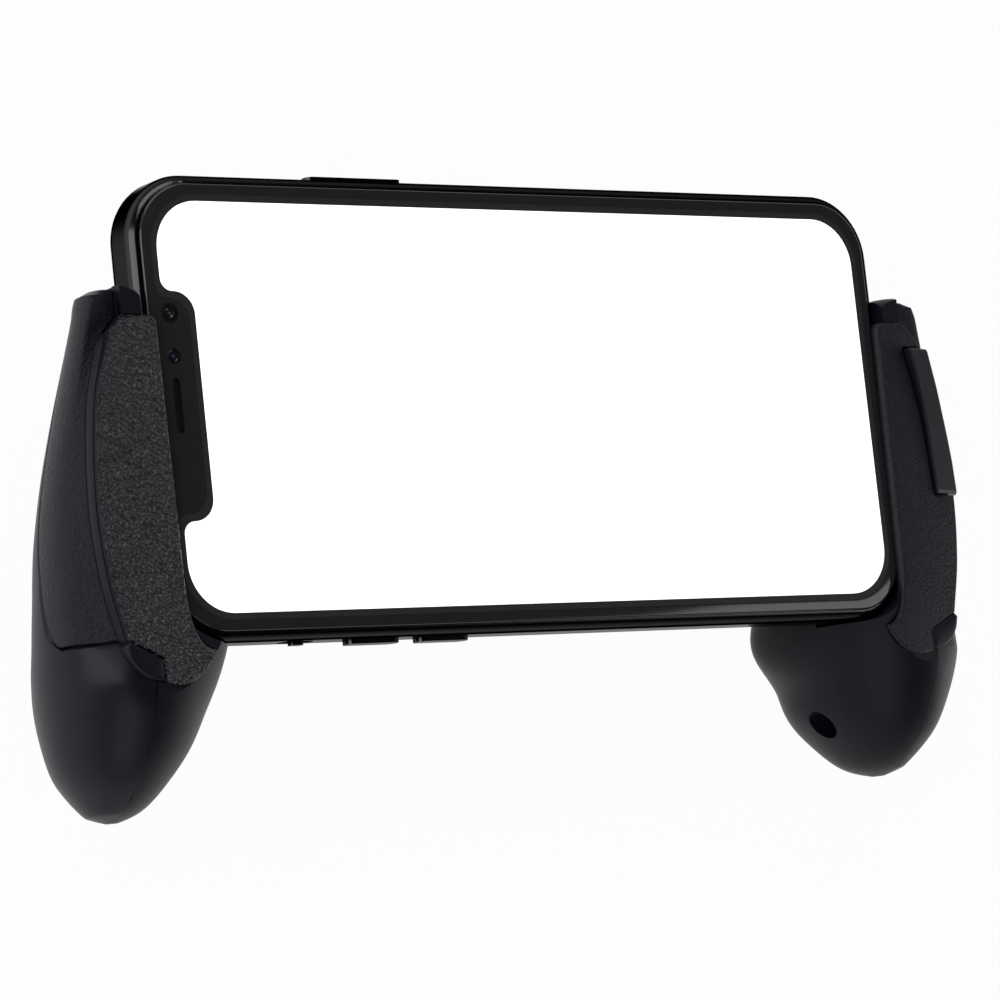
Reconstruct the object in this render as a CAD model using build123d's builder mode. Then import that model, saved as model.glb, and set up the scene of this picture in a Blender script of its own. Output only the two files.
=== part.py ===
from build123d import *
from math import cos, hypot, pi, radians, sin
import os

os.makedirs("parts", exist_ok=True)

# A telescopic grip for playing on a phone, lying on its back with a phone in its jaws.
# x runs to the right along the phone, y up the screen and z out of the screen, in millimetres.
# The origin is on the table, under the middle of the whole outline.

# Phone
phone_length = 143.6
phone_width = 70.9
phone_thickness = 7.7
phone_corner = 10.5
phone_end = phone_length / 2
phone_side = phone_width / 2
key_proud = 0.7

# Handle, as one horn that runs down from its top to the tip of its bulb
grip_top = 17.9
grip_length = 77.9
bulb_width = 29.4
bulb_depth = 33.2
shell_wall = 2.4
seam_out = 3.7
seam_x = phone_end + seam_out

# Jaw
slot_gap = 0.3
plate_thickness = 1.5
plate_proud = 0.6
flange_lap = 1.9
flange_reach = 10.8
flange_length = 55.3
flange_top = 13.6
flange_corner = 1.0
slot_wall = 1.8
pad_thickness = 1.2
pad_length = 34.0
pad_height = 6.6
pad_drop = 6.2
ledge_dip = 1.2
ledge_dip_start = 15.0
plate_front = slot_gap + plate_thickness
shell_front = plate_front - plate_proud

# Side panel and the wing of the right one
panel_thickness = 1.2
panel_groove = 0.2
panel_top = 18.5
panel_bottom = 34.9
panel_corner = 2.4
wing_gap = 0.3
wing_height = 0.8
wing_slope = 15.0
wing_width = 6.4

# Screw that joins the two shells of a handle
shell_screw_down = 51.1
shell_screw_back = 15.4
shell_screw_radius = 1.1
shell_screw_head_radius = 2.0
shell_screw_head_height = 1.5
shell_screw_bite = 6.0
screw_gap = 0.08
recess_radius = 2.25
boss_radius = 3.7
screw_web = 2.2

# Bridge between the handles
bridge_height = 22.0
bridge_thickness = 7.8
bridge_down = 22.0
bridge_wall = 1.4
bridge_rail = 3.2
bridge_insert = 0.7
cover_gap = 0.3
closed_reach = 3.0
tray_reach = 30.0
tongue_gap = 0.3
travel = 14.0
tongue_end = 20.0
socket_wall = 2.2
socket_depth = 15.0
socket_back = 2.6
socket_corner = 3.0
rib_x = 60.0
rib_width = 3.0

# Return springs
spring_turns = 14
spring_radius = 1.7
spring_wire_radius = 0.3
spring_spread = 8.8
lug_length = 4.0
lug_gap = 0.1

# Small fasteners of the bridge
stop_screw_x = -14.0
stop_screw_radius = 1.5
stop_screw_head_radius = 2.6
stop_screw_head_height = 1.0
cover_screw_radius = 0.7
cover_screw_head_radius = 1.3
cover_screw_head_height = 0.7
cover_screw_length = 4.6
cover_screw_span = 37.0
bridge_screw_radius = 1.2
bridge_screw_head_radius = 2.2
bridge_screw_head_height = 1.3
bridge_screw_pitch = 9.0
bridge_screw_inset = 8.0
head_flat_share = 0.7
cross_length_share = 1.1
cross_width_share = 0.25

# Soft pads under the phone
rest_pad_length = 22.0
rest_pad_height = 9.0
rest_pad_spread = 56.0
rest_pad_gap = 0.3
rest_pad_x = 14.0

# Phone pieces
frame_wall = 3.0
frame_edge = 1.8
glass_inset = 1.5
glass_proud = 0.3
glass_thickness = 0.9
glass_edge = 0.35
display_length = 135.1
display_width = 62.4
display_corner = 7.6
display_thickness = 1.2
notch_width = 34.7
notch_depth = 5.6
notch_corner = 3.5
mid_plate_thickness = 0.4
inner_gap = 0.2
battery_length = 78.0
battery_width = 46.0
battery_thickness = 3.4
battery_x = 18.0
board_length = 36.0
board_width = 50.0
board_thickness = 1.6
board_x = -44.0
port_length = 8.3
port_height = 2.6
port_wall = 0.4
port_depth = 6.0
sim_length = 16.0
sim_height = 1.9
sim_depth = 2.6
sim_x = 15.0
sim_gap = 0.05
surround_length = 24.0
surround_width = 11.5
surround_proud = 1.2
surround_x = -51.5
surround_y = 23.2
camera_radius = 4.0
camera_spread = 14.4
camera_depth = 4.2
camera_recess = 0.15
camera_gap = 0.1
flash_radius = 1.5
flash_depth = 0.9
front_camera_radius = 1.9
front_camera_inset = 5.4
front_camera_y = 14.0
front_sensor_radius = 1.25
front_sensor_y = 7.5
front_eye_depth = 2.0
front_eye_recess = 0.05
earpiece_length = 8.3
earpiece_width = 1.4
earpiece_recess = 0.35
earpiece_depth = 0.5

# Keys on the phone's long sides
key_height = 2.6
key_depth = 2.2
key_gap = 0.15
key_corner = 1.1
power_key_length = 17.6
power_key_x = -28.7
volume_key_length = 9.6
volume_up_x = -33.8
volume_down_x = -20.8
mute_key_length = 2.4
mute_slot_length = 5.6
mute_x = -47.5
mute_travel = 0.6
mute_proud = 0.5

overrun = 60.0

# Cross-sections of the horn, from its top to its tip, as shares of the handle's own sizes:
# how far along, how far out from the phone's end, how far behind the glass,
# half width and half depth, then the lean of the long axis in degrees,
# and how much fuller the side is that faces back and under the phone
section_shares = [
    (0.00, 0.27, 0.16, 0.10, 0.09, 0, 0.0),
    (0.01, 0.26, 0.15, 0.30, 0.26, 0, 0.0),
    (0.03, 0.24, 0.15, 0.37, 0.32, 0, 0.0),
    (0.06, 0.22, 0.15, 0.42, 0.37, 0, 0.0),
    (0.14, 0.17, 0.20, 0.56, 0.50, 0, 0.0),
    (0.24, 0.16, 0.27, 0.69, 0.61, 0, 0.0),
    (0.36, 0.16, 0.36, 0.81, 0.71, 0, 0.1),
    (0.48, 0.12, 0.45, 0.92, 0.81, 0, 0.2),
    (0.59, 0.04, 0.53, 1.01, 0.89, 6, 0.3),
    (0.66, 0.01, 0.65, 1.00, 0.95, 12, 0.3),
    (0.72, 0.00, 0.78, 0.97, 0.99, 18, 0.2),
    (0.78, 0.03, 0.87, 0.90, 0.97, 22, 0.0),
    (0.84, 0.07, 0.92, 0.80, 0.87, 23, 0.0),
    (0.90, 0.12, 0.96, 0.66, 0.72, 22, 0.0),
    (0.94, 0.15, 0.98, 0.51, 0.56, 20, 0.0),
    (0.98, 0.18, 1.00, 0.31, 0.33, 19, 0.0),
    (0.99, 0.19, 1.00, 0.22, 0.23, 19, 0.0),
    (1.00, 0.20, 1.00, 0.07, 0.07, 19, 0.0),
]
ring_points = 16
least_ring = 0.8


# How far a leaning ellipse reaches back from the glass
def back_reach(row):
    back, wide, deep, lean = row[2:6]
    wide_part = wide * bulb_width / 2 * sin(radians(lean))
    deep_part = deep * bulb_depth / 2 * cos(radians(lean))
    return back * bulb_depth / 2 + hypot(wide_part, deep_part)


glass_z = max(back_reach(row) for row in section_shares)
phone_y = (grip_length - grip_top - phone_side - key_proud) / 2


# A plane parallel to the screen, centred on it, this far in front of the glass
def level(front):
    return Plane(origin=(0, phone_y, glass_z + front))


# A plane square to y, this far above the phone's middle, with x outward and its y out of the screen
def across(up):
    return Plane(origin=(0, phone_y + up, glass_z), x_dir=(1, 0, 0), z_dir=(0, -1, 0))


# A plane square to x at this place, with its x up the screen and its y out of the screen
def along(x):
    return Plane(origin=(x, phone_y, glass_z), x_dir=(0, 1, 0), z_dir=(1, 0, 0))


# The right horn, its skin moved inward by an inset
def horn(inset):
    with BuildPart() as body:
        for row in section_shares:
            down, out, back, wide, deep, lean, flare = row
            half_wide = wide * bulb_width / 2 - inset
            half_deep = deep * bulb_depth / 2 - inset
            if half_wide < least_ring and inset > 0:
                continue
            middle_x = phone_end + out * bulb_width / 2
            middle_z = -back * bulb_depth / 2
            ring = []
            for count in range(ring_points):
                turn = 2 * pi * count / ring_points
                swell = 1 + flare * sin(2 * turn) ** 2 if pi < turn < 3 * pi / 2 else 1
                side = half_wide * swell * cos(turn)
                rise = half_deep * swell * sin(turn)
                tilt = radians(lean)
                ring.append((
                    middle_x + side * cos(tilt) + rise * sin(tilt),
                    middle_z - side * sin(tilt) + rise * cos(tilt),
                ))
            with BuildSketch(across(grip_top - down * grip_length)):
                with BuildLine():
                    Spline(*ring, periodic=True)
                make_face()
        loft()
    return body.part


full_horn = horn(0)
hollow_horn = horn(shell_wall)
panel_horn = horn(panel_thickness)


# A place on the jaw's front, in shares of how far the flange reaches out and of its length
def jaw_place(out_share, down_share):
    return (phone_end + out_share * flange_reach, flange_top - down_share * flange_length)


seam_start = jaw_place(0.74, 0.88)
seam_bend = jaw_place(0.22, 0.93)
seam_end = jaw_place(0.24, 0.99)
tongue_side = jaw_place(-0.64, 0.91)
inner_start = jaw_place(-0.22, 0.72)
inner_end = (phone_end - flange_lap, flange_top - flange_corner)
wing_shares = [(0.33, 0.08), (0.47, 0.20), (0.55, 0.30), (0.60, 0.42), (0.63, 0.52)]


# Outline of the jaw's front plate
def plate_outline():
    with BuildSketch() as outline:
        with BuildLine():
            Spline(
                jaw_place(0.60, 0.05),
                jaw_place(0.88, 0.24),
                jaw_place(1.00, 0.50),
                jaw_place(0.93, 0.71),
                seam_start,
            )
            Line(seam_start, seam_bend)
            Line(seam_bend, seam_end)
            ThreePointArc(seam_end, jaw_place(-0.24, 0.99), tongue_side)
            ThreePointArc(tongue_side, jaw_place(-0.33, 0.86), inner_start)
            Line(inner_start, inner_end)
            ThreePointArc(
                inner_end,
                (inner_end[0] + flange_corner * (1 - cos(pi / 4)),
                 inner_end[1] + flange_corner * sin(pi / 4)),
                (inner_end[0] + flange_corner, flange_top),
            )
            Line((inner_end[0] + flange_corner, flange_top), jaw_place(0.34, 0))
            Line(jaw_place(0.34, 0), jaw_place(0.60, 0.05))
        make_face()
    return outline.sketch


# Outline of the wing, grown by a gap at its inner side, top and bottom
def wing_outline(grow):
    inner = [jaw_place(*place) for place in wing_shares]
    edge = [(x - grow, y) for x, y in inner]
    top = (edge[0][0], edge[0][1] + grow)
    low = (edge[-1][0], edge[-1][1] - grow)
    corners = [edge[-1], (low[0] + wing_width, low[1]), (top[0] + wing_width, top[1]), edge[0]]
    if grow > 0:
        corners.insert(1, low)
        corners.insert(-1, top)
    with BuildSketch() as outline:
        with BuildLine():
            Spline(*edge)
            Polyline(*corners)
        make_face()
    return outline.sketch


# Room of the front plate, from its underside outward
def plate_room():
    with BuildPart() as room:
        with BuildSketch(level(slot_gap)):
            add(plate_outline())
        extrude(amount=overrun)
    return room.part


# The space that the phone slides in, open upward and to the front
def phone_room():
    room_length = phone_length + 2 * slot_gap
    room_width = phone_width + 2 * slot_gap
    with BuildPart() as room:
        with BuildSketch(level(-phone_thickness - slot_gap)):
            RectangleRounded(room_length, room_width, phone_corner + slot_gap)
            with Locations((0, overrun / 2)):
                Rectangle(room_length, overrun)
            with Locations((0, -phone_side - ledge_dip / 2)):
                Rectangle(2 * (phone_end - ledge_dip_start), ledge_dip + 2 * slot_gap)
        extrude(amount=overrun)
    return room.part


# Half of the horn, cut flat in front, on the inner (-1) or outer (1) side of the seam
def horn_half(body, side):
    with BuildPart() as half:
        add(body)
        split(bisect_by=Plane.YZ.offset(seam_x), keep=Keep.TOP if side > 0 else Keep.BOTTOM)
        split(bisect_by=Plane.XY.offset(glass_z + shell_front), keep=Keep.BOTTOM)
    return half.part


outer_half = horn_half(full_horn, 1)
inner_half = horn_half(full_horn, -1)


# Walls round the phone slot, which the hollow of the horn leaves standing
def slot_walls():
    reach = phone_end + slot_gap + pad_thickness + slot_wall
    drop = phone_side + slot_gap + slot_wall
    deep = phone_thickness + slot_gap + slot_wall
    with BuildPart() as walls:
        with BuildSketch(level(-deep)):
            with Locations((reach / 2, (grip_top - drop) / 2)):
                Rectangle(reach, grip_top + drop)
            with Locations((reach / 2, -drop - ledge_dip / 2)):
                Rectangle(reach, ledge_dip + slot_gap)
        extrude(amount=overrun)
    return walls.part


# Sizes of the bridge in depth behind the glass
bridge_front = phone_thickness + slot_gap + slot_wall
bridge_middle = bridge_front + bridge_thickness / 2
bridge_back = bridge_front + bridge_thickness
bridge_inner_height = bridge_height - 2 * bridge_rail
bridge_inner_depth = bridge_thickness - 2 * bridge_wall
tongue_height = bridge_inner_height - 2 * tongue_gap
tongue_depth = bridge_inner_depth - 2 * tongue_gap
bridge_end = phone_end + bridge_insert
socket_start = bridge_end - socket_depth
closed_start = socket_start - closed_reach
cover_end = closed_start - cover_gap
bridge_screw_x = socket_start + bridge_screw_inset
socket_floor = bridge_back + socket_back


# Boss of the screw that joins the two shells, which the hollow of the horn leaves standing
def boss():
    with BuildPart() as post:
        with BuildSketch(along(0)):
            with Locations((-shell_screw_down, -shell_screw_back)):
                Circle(boss_radius)
        extrude(amount=seam_x + overrun)
    return post.part


# Hollow of the handle, between its skin, the walls round the phone slot and the boss
def handle_room():
    with BuildPart() as room:
        add(hollow_horn)
        add(slot_walls(), mode=Mode.SUBTRACT)
        add(boss(), mode=Mode.SUBTRACT)
    return room.part


hollow = handle_room()


# Block behind the slot that holds one end of the bridge
def socket_block():
    with BuildPart() as block:
        with BuildSketch(along(socket_start)):
            with Locations((-bridge_down, -(bridge_front + socket_floor) / 2)):
                Rectangle(bridge_height + 2 * socket_wall, socket_floor - bridge_front)
        extrude(amount=socket_depth + socket_wall)
        outer_edges = block.edges().filter_by(Axis.X).group_by(Axis.Z)[0]
        fillet(outer_edges, radius=socket_corner)
        face_edges = block.faces().sort_by(Axis.X)[0].edges().group_by(Axis.Z)[0]
        fillet(face_edges, radius=socket_corner / 2)
    return block.part


# Two places of the screws that hold a bridge end
def bridge_screw_places():
    low = -bridge_down - bridge_screw_pitch / 2
    return [(bridge_screw_x, low), (bridge_screw_x, low + bridge_screw_pitch)]


# Inner shell of the right handle, with a pocket that fits one end of the bridge
def inner_shell(pocket_height, pocket_depth):
    screw_stop = seam_x - screw_web
    with BuildPart() as shell:
        add(inner_half)
        add(hollow, mode=Mode.SUBTRACT)
        add(socket_block())
        add(phone_room(), mode=Mode.SUBTRACT)
        add(plate_room(), mode=Mode.SUBTRACT)
        add(plate_lug(), mode=Mode.SUBTRACT)
        with BuildSketch(along(0)):
            with Locations((-bridge_down, -bridge_middle)):
                Rectangle(pocket_height, pocket_depth)
        extrude(amount=bridge_end, mode=Mode.SUBTRACT)
        with BuildSketch(along(0)):
            with Locations((-shell_screw_down, -shell_screw_back)):
                Circle(recess_radius)
        extrude(amount=screw_stop, mode=Mode.SUBTRACT)
        with BuildSketch(along(0)):
            with Locations((-shell_screw_down, -shell_screw_back)):
                Circle(shell_screw_radius + screw_gap)
        extrude(amount=seam_x, mode=Mode.SUBTRACT)
        with BuildSketch(level(-socket_floor)):
            with Locations(*bridge_screw_places()):
                Circle(bridge_screw_radius + screw_gap)
        extrude(amount=socket_floor - bridge_middle, mode=Mode.SUBTRACT)
        with BuildSketch(level(-socket_floor)):
            with Locations(*bridge_screw_places()):
                Circle(bridge_screw_head_radius + screw_gap)
        extrude(amount=bridge_screw_head_height, mode=Mode.SUBTRACT)
        add(jaw_pad(), mode=Mode.SUBTRACT)
    return shell.part


# Soft liner that the phone's end bears on, set in the wall of the slot
def jaw_pad():
    with BuildPart() as pad:
        with BuildSketch(along(phone_end + slot_gap)):
            with Locations((-pad_drop, -phone_thickness / 2)):
                RectangleRounded(pad_length, pad_height, pad_height / 4)
        extrude(amount=pad_thickness)
    return pad.part


# Rounded lug beside the foot of the front plate
def plate_lug():
    with BuildPart() as lug:
        with BuildSketch(level(slot_gap)):
            with BuildLine():
                Line(seam_start, seam_bend)
                Line(seam_bend, seam_end)
                ThreePointArc(seam_end, jaw_place(0.63, 0.96), jaw_place(0.80, 0.89))
                Line(jaw_place(0.80, 0.89), seam_start)
            make_face()
        extrude(amount=plate_thickness)
    return lug.part


# Rear edge of the side panel, as places up the screen and behind the glass,
# in shares of the panel's height and of half the bulb's depth
panel_edge_shares = [(1.00, -0.42), (0.84, -0.43), (0.62, -0.52), (0.40, -0.68), (0.26, -0.73), (0.13, -0.68)]


# Outline of the side panel seen from the side, drawn in by an inset
def panel_outline(inset):
    panel_height = panel_top + panel_bottom
    low = -panel_bottom + inset
    edge = []
    for up_share, back_share in panel_edge_shares:
        place = -panel_bottom + up_share * panel_height
        edge.append((min(place, panel_top - inset), back_share * bulb_depth / 2 + inset))
    corner_y = low + panel_corner
    edge_end = (corner_y, edge[-1][1] + panel_corner / 2)
    corner_end = (low, edge_end[1] + panel_corner)
    with BuildSketch() as outline:
        with BuildLine():
            Spline(*edge, edge_end)
            Line(edge_end, corner_end)
            Line(corner_end, (low, overrun))
            Line((low, overrun), (panel_top - inset, overrun))
            Line((panel_top - inset, overrun), edge[0])
        make_face()
    return outline.sketch


# Space that the side panel takes out of the horn's skin, drawn in by an inset
def panel_room(inset):
    with BuildPart() as room:
        with BuildSketch(along(seam_x)):
            add(panel_outline(inset))
        extrude(amount=overrun)
        add(panel_horn, mode=Mode.SUBTRACT)
    return room.part


# Outer shell of the right handle, with or without room for the wing
def outer_shell(with_wing):
    with BuildPart() as shell:
        add(outer_half)
        add(hollow, mode=Mode.SUBTRACT)
        add(plate_lug())
        add(plate_room(), mode=Mode.SUBTRACT)
        add(panel_room(0), mode=Mode.SUBTRACT)
        if with_wing:
            with BuildSketch(level(slot_gap)):
                add(wing_outline(0))
            extrude(amount=overrun, mode=Mode.SUBTRACT)
        with BuildSketch(along(seam_x)):
            with Locations((-shell_screw_down, -shell_screw_back)):
                Circle(shell_screw_radius + screw_gap)
        extrude(amount=shell_screw_bite + screw_gap, mode=Mode.SUBTRACT)
    return shell.part


# Side panel of the right handle, with or without the raised wing
def side_panel(with_wing):
    with BuildPart() as panel:
        add(outer_half)
        add(panel_room(panel_groove), mode=Mode.INTERSECT)
        add(plate_room(), mode=Mode.SUBTRACT)
        if with_wing:
            add(wing())
    return panel.part


# Raised wing: a strip that stands over the plate's outer edge and slopes down outward
def wing():
    crest = jaw_place(*wing_shares[2])
    slope = radians(wing_slope)
    top = Plane(
        origin=(crest[0], phone_y + crest[1], glass_z + plate_front + wing_height),
        z_dir=(sin(slope), 0, cos(slope)),
    )
    with BuildPart() as strip:
        with BuildSketch(level(slot_gap)):
            add(wing_outline(0))
        extrude(amount=overrun)
        split(bisect_by=top, keep=Keep.BOTTOM)
        add(full_horn, mode=Mode.INTERSECT)
    return strip.part


# Front plate of the right jaw, with or without room for the wing
def jaw_plate(with_wing):
    with BuildPart() as plate:
        with BuildSketch(level(slot_gap)):
            add(plate_outline())
            if with_wing:
                add(wing_outline(wing_gap), mode=Mode.SUBTRACT)
        extrude(amount=plate_thickness)
    return plate.part


# Pan-head screw whose head starts at the origin and whose shank runs along -z
def screw(head_radius, head_height, radius, length):
    with BuildPart() as item:
        with BuildSketch(Plane.XZ):
            with BuildLine():
                Polyline(
                    (0, head_height),
                    (head_radius * head_flat_share, head_height),
                    (head_radius, head_height / 2),
                    (head_radius, 0),
                    (radius, 0),
                    (radius, -length),
                    (0, -length),
                    (0, head_height),
                )
            make_face()
        revolve(axis=Axis.Z)
        with BuildSketch(Plane.XY.offset(head_height)):
            Rectangle(head_radius * cross_length_share, head_radius * cross_width_share)
            Rectangle(head_radius * cross_width_share, head_radius * cross_length_share)
        extrude(amount=-head_height / 2, mode=Mode.SUBTRACT)
    return item.part


# Copies of a screw at some places, each a plane whose z points out of the screw's head
def screw_group(item, places):
    with BuildPart() as group:
        for place in places:
            add(place.location * item)
    return group.part


# The other handle's copy of a piece
def mirrored(piece):
    with BuildPart() as copy:
        add(piece)
        mirror(about=Plane.YZ, mode=Mode.REPLACE)
    return copy.part


# Writes one finished piece
def finish(piece, name):
    piece.label = name
    export_step(piece, "parts/" + name + ".step")


# Front tray of the bridge: a channel, closed all round in and just before the right socket,
# with a cross rib and two lugs that hold the springs
def bridge_tray():
    with BuildPart() as tray:
        with BuildSketch(along(-tray_reach)):
            with Locations((-bridge_down, -(bridge_front + (bridge_thickness - bridge_wall) / 2))):
                Rectangle(bridge_height, bridge_thickness - bridge_wall)
        extrude(amount=tray_reach + bridge_end)
        with BuildSketch(along(closed_start)):
            with Locations((-bridge_down, -bridge_middle)):
                Rectangle(bridge_height, bridge_thickness)
        extrude(amount=bridge_end - closed_start)
        with BuildSketch(along(-tray_reach)):
            with Locations((-bridge_down, -bridge_middle)):
                Rectangle(bridge_inner_height, bridge_inner_depth)
        extrude(amount=tray_reach + rib_x, mode=Mode.SUBTRACT)
        with BuildSketch(along(rib_x + rib_width)):
            with Locations((-bridge_down, -bridge_middle)):
                Rectangle(bridge_inner_height, bridge_inner_depth)
        extrude(amount=bridge_end, mode=Mode.SUBTRACT)
        with BuildSketch(along(rib_x - lug_length)):
            with Locations(*spring_places()):
                Circle(spring_radius - spring_wire_radius - lug_gap)
        extrude(amount=lug_length)
        with BuildSketch(level(-bridge_back + bridge_wall)):
            with Locations(*cover_screw_places()):
                Circle(cover_screw_radius + screw_gap)
        extrude(amount=cover_screw_length, mode=Mode.SUBTRACT)
        with BuildSketch(level(-bridge_back)):
            with Locations((stop_screw_x, -bridge_down)):
                Circle(stop_screw_radius + screw_gap)
        extrude(amount=bridge_thickness - bridge_wall / 2, mode=Mode.SUBTRACT)
        with BuildSketch(level(-bridge_back)):
            with Locations(*bridge_screw_places()):
                Circle(bridge_screw_radius + screw_gap)
        extrude(amount=bridge_thickness / 2, mode=Mode.SUBTRACT)
    return tray.part


# Back cover of the bridge, a plate that closes the channel up to the tray's closed end
def bridge_cover():
    with BuildPart() as cover:
        with BuildSketch(level(-bridge_back)):
            with Locations(((cover_end - tray_reach) / 2, -bridge_down)):
                Rectangle(cover_end + tray_reach, bridge_height)
        extrude(amount=bridge_wall)
        with BuildSketch(level(-bridge_back)):
            with Locations(*cover_screw_places()):
                Circle(cover_screw_radius + screw_gap)
            with Locations((stop_screw_x, -bridge_down)):
                Circle(stop_screw_radius + screw_gap)
        extrude(amount=bridge_wall, mode=Mode.SUBTRACT)
        with BuildSketch(level(-bridge_back)):
            with Locations(*cover_screw_places()):
                Circle(cover_screw_head_radius + screw_gap)
        extrude(amount=cover_screw_head_height, mode=Mode.SUBTRACT)
        with BuildSketch(level(-bridge_back)):
            with Locations((stop_screw_x, -bridge_down)):
                Circle(stop_screw_head_radius + screw_gap)
        extrude(amount=stop_screw_head_height, mode=Mode.SUBTRACT)
    return cover.part


# Tongue of the left handle, which slides in the tray
def bridge_tongue():
    slot_length = travel + 2 * (stop_screw_radius + tongue_gap)
    slot_middle = stop_screw_x + travel / 2
    with BuildPart() as tongue:
        with BuildSketch(along(-bridge_end)):
            with Locations((-bridge_down, -bridge_middle)):
                Rectangle(tongue_height, tongue_depth)
        extrude(amount=bridge_end + tongue_end)
        with BuildSketch(along(tongue_end)):
            with Locations(*spring_places()):
                Circle(spring_radius - spring_wire_radius - lug_gap)
        extrude(amount=lug_length)
        with BuildSketch(level(-bridge_back)):
            with Locations((slot_middle, -bridge_down)):
                SlotOverall(slot_length, 2 * (stop_screw_radius + tongue_gap))
        extrude(amount=bridge_thickness, mode=Mode.SUBTRACT)
        with BuildSketch(level(-bridge_back)):
            with Locations(*[(-x, y) for x, y in bridge_screw_places()]):
                Circle(bridge_screw_radius + screw_gap)
        extrude(amount=bridge_thickness / 2, mode=Mode.SUBTRACT)
    return tongue.part


# Places of the two springs across the bridge, up the screen and behind the glass
def spring_places():
    return [
        (-bridge_down - spring_spread / 2, -bridge_middle),
        (-bridge_down + spring_spread / 2, -bridge_middle),
    ]


# Places of the screws along the two rails of the cover
def cover_screw_places():
    rail_middle = (bridge_height - bridge_rail) / 2
    first = (rib_x - tray_reach) / 2 - cover_screw_span
    places = []
    for count in range(3):
        for side in (-1, 1):
            places.append((first + count * cover_screw_span, -bridge_down + side * rail_middle))
    return places


# One return spring, an open coil that grips a lug at each end
def return_spring(place):
    spring_length = rib_x - tongue_end - 2 * spring_wire_radius - 2 * lug_gap
    start = tongue_end + spring_wire_radius + lug_gap
    up, front = place
    with BuildPart() as spring:
        with BuildLine() as path:
            Helix(
                pitch=spring_length / spring_turns, height=spring_length, radius=spring_radius,
                center=(start, phone_y + up, glass_z + front), direction=(1, 0, 0),
            )
        with BuildSketch(Plane(origin=path.line @ 0, z_dir=path.line % 0)):
            Circle(spring_wire_radius)
        sweep(is_frenet=True)
    return spring.part


# Soft pads between the bridge and the phone's back
def phone_rest_pads():
    with BuildPart() as pads:
        with BuildSketch(level(-bridge_front)):
            with Locations((rest_pad_x, -bridge_down)):
                with GridLocations(rest_pad_spread, 0, 2, 1):
                    RectangleRounded(rest_pad_length, rest_pad_height, rest_pad_height / 4)
        extrude(amount=bridge_front - phone_thickness - rest_pad_gap)
    return pads.part


# A plane on a long side of the phone, this far out of it, whose y points out of the screen
def long_side(side, out):
    place = phone_y + side * (phone_side + out)
    return Plane(origin=(0, place, glass_z), x_dir=(-side, 0, 0), z_dir=(0, side, 0))


# A key-shaped block in a long side of the frame, from a depth inside to a height outside
def key_block(place, side, length, height, corner, depth, proud):
    with BuildPart() as block:
        with BuildSketch(long_side(side, -depth)):
            with Locations((-side * place, -phone_thickness / 2)):
                RectangleRounded(length, height, corner)
        extrude(amount=depth + proud)
    return block.part


# A side key, and the room it needs
def side_key(place, side, length):
    return key_block(place, side, length, key_height, key_corner, key_depth, key_proud)


def key_room(place, side, length):
    room_length = length + 2 * key_gap
    room_height = key_height + 2 * key_gap
    return key_block(place, side, room_length, room_height, key_corner + key_gap, frame_wall, key_proud)


# Mute switch, a short lever that slides across the frame in its recess
def mute_switch():
    height = key_height - 2 * mute_travel
    depth = key_depth - mute_proud
    return key_block(mute_x, -1, mute_key_length, height, key_corner / 2, depth, mute_proud)


# Tray of the phone's card, flush with the frame
def sim_tray():
    return key_block(sim_x, 1, sim_length, sim_height, sim_height / 2 - sim_gap, sim_depth, 0)


# A plate with the phone's outline, drawn in by an inset
def phone_plate(front, inset, thickness):
    with BuildPart() as plate:
        with BuildSketch(level(front - thickness)):
            RectangleRounded(phone_length - 2 * inset, phone_width - 2 * inset, phone_corner - inset)
        extrude(amount=thickness)
    return plate.part


# Frame of the phone, with seats for both glasses and openings for keys, card and plug
def phone_frame():
    band = phone_thickness - 2 * glass_proud
    with BuildPart() as frame:
        add(phone_plate(-glass_proud, 0, band))
        fillet(frame.edges().group_by(Axis.Z)[0] + frame.edges().group_by(Axis.Z)[-1], radius=frame_edge)
        add(phone_plate(0, frame_wall, phone_thickness), mode=Mode.SUBTRACT)
        add(phone_plate(0, glass_inset, glass_thickness), mode=Mode.SUBTRACT)
        add(
            phone_plate(glass_thickness - phone_thickness, glass_inset, glass_thickness),
            mode=Mode.SUBTRACT,
        )
        add(key_room(power_key_x, 1, power_key_length), mode=Mode.SUBTRACT)
        add(key_room(volume_up_x, -1, volume_key_length), mode=Mode.SUBTRACT)
        add(key_room(volume_down_x, -1, volume_key_length), mode=Mode.SUBTRACT)
        add(key_room(mute_x, -1, mute_slot_length), mode=Mode.SUBTRACT)
        add(
            key_block(
                sim_x, 1, sim_length + 2 * sim_gap, sim_height + 2 * sim_gap, sim_height / 2,
                frame_wall, 0,
            ),
            mode=Mode.SUBTRACT,
        )
        with BuildSketch(along(phone_end - frame_wall)):
            with Locations((0, -phone_thickness / 2)):
                RectangleRounded(port_length, port_height, port_height / 2 - port_wall)
        extrude(amount=frame_wall, mode=Mode.SUBTRACT)
    return frame.part


# Places of the eyes behind the front glass
front_camera_x = front_camera_inset - phone_end
front_eyes = [
    (front_camera_y, front_camera_radius),
    (front_sensor_y, front_sensor_radius),
]


# A round eye seen through the front glass
def front_eye(up, radius):
    with BuildPart() as eye:
        with BuildSketch(level(-front_eye_depth)):
            with Locations((front_camera_x, up)):
                Circle(radius)
        extrude(amount=front_eye_depth - front_eye_recess)
    return eye.part


# Slot of the earpiece, grown by a gap
def earpiece_outline(grow):
    with BuildSketch() as outline:
        with Locations((front_camera_x, 0)):
            SlotOverall(earpiece_length + 2 * grow, earpiece_width + 2 * grow, rotation=90)
    return outline.sketch


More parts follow.
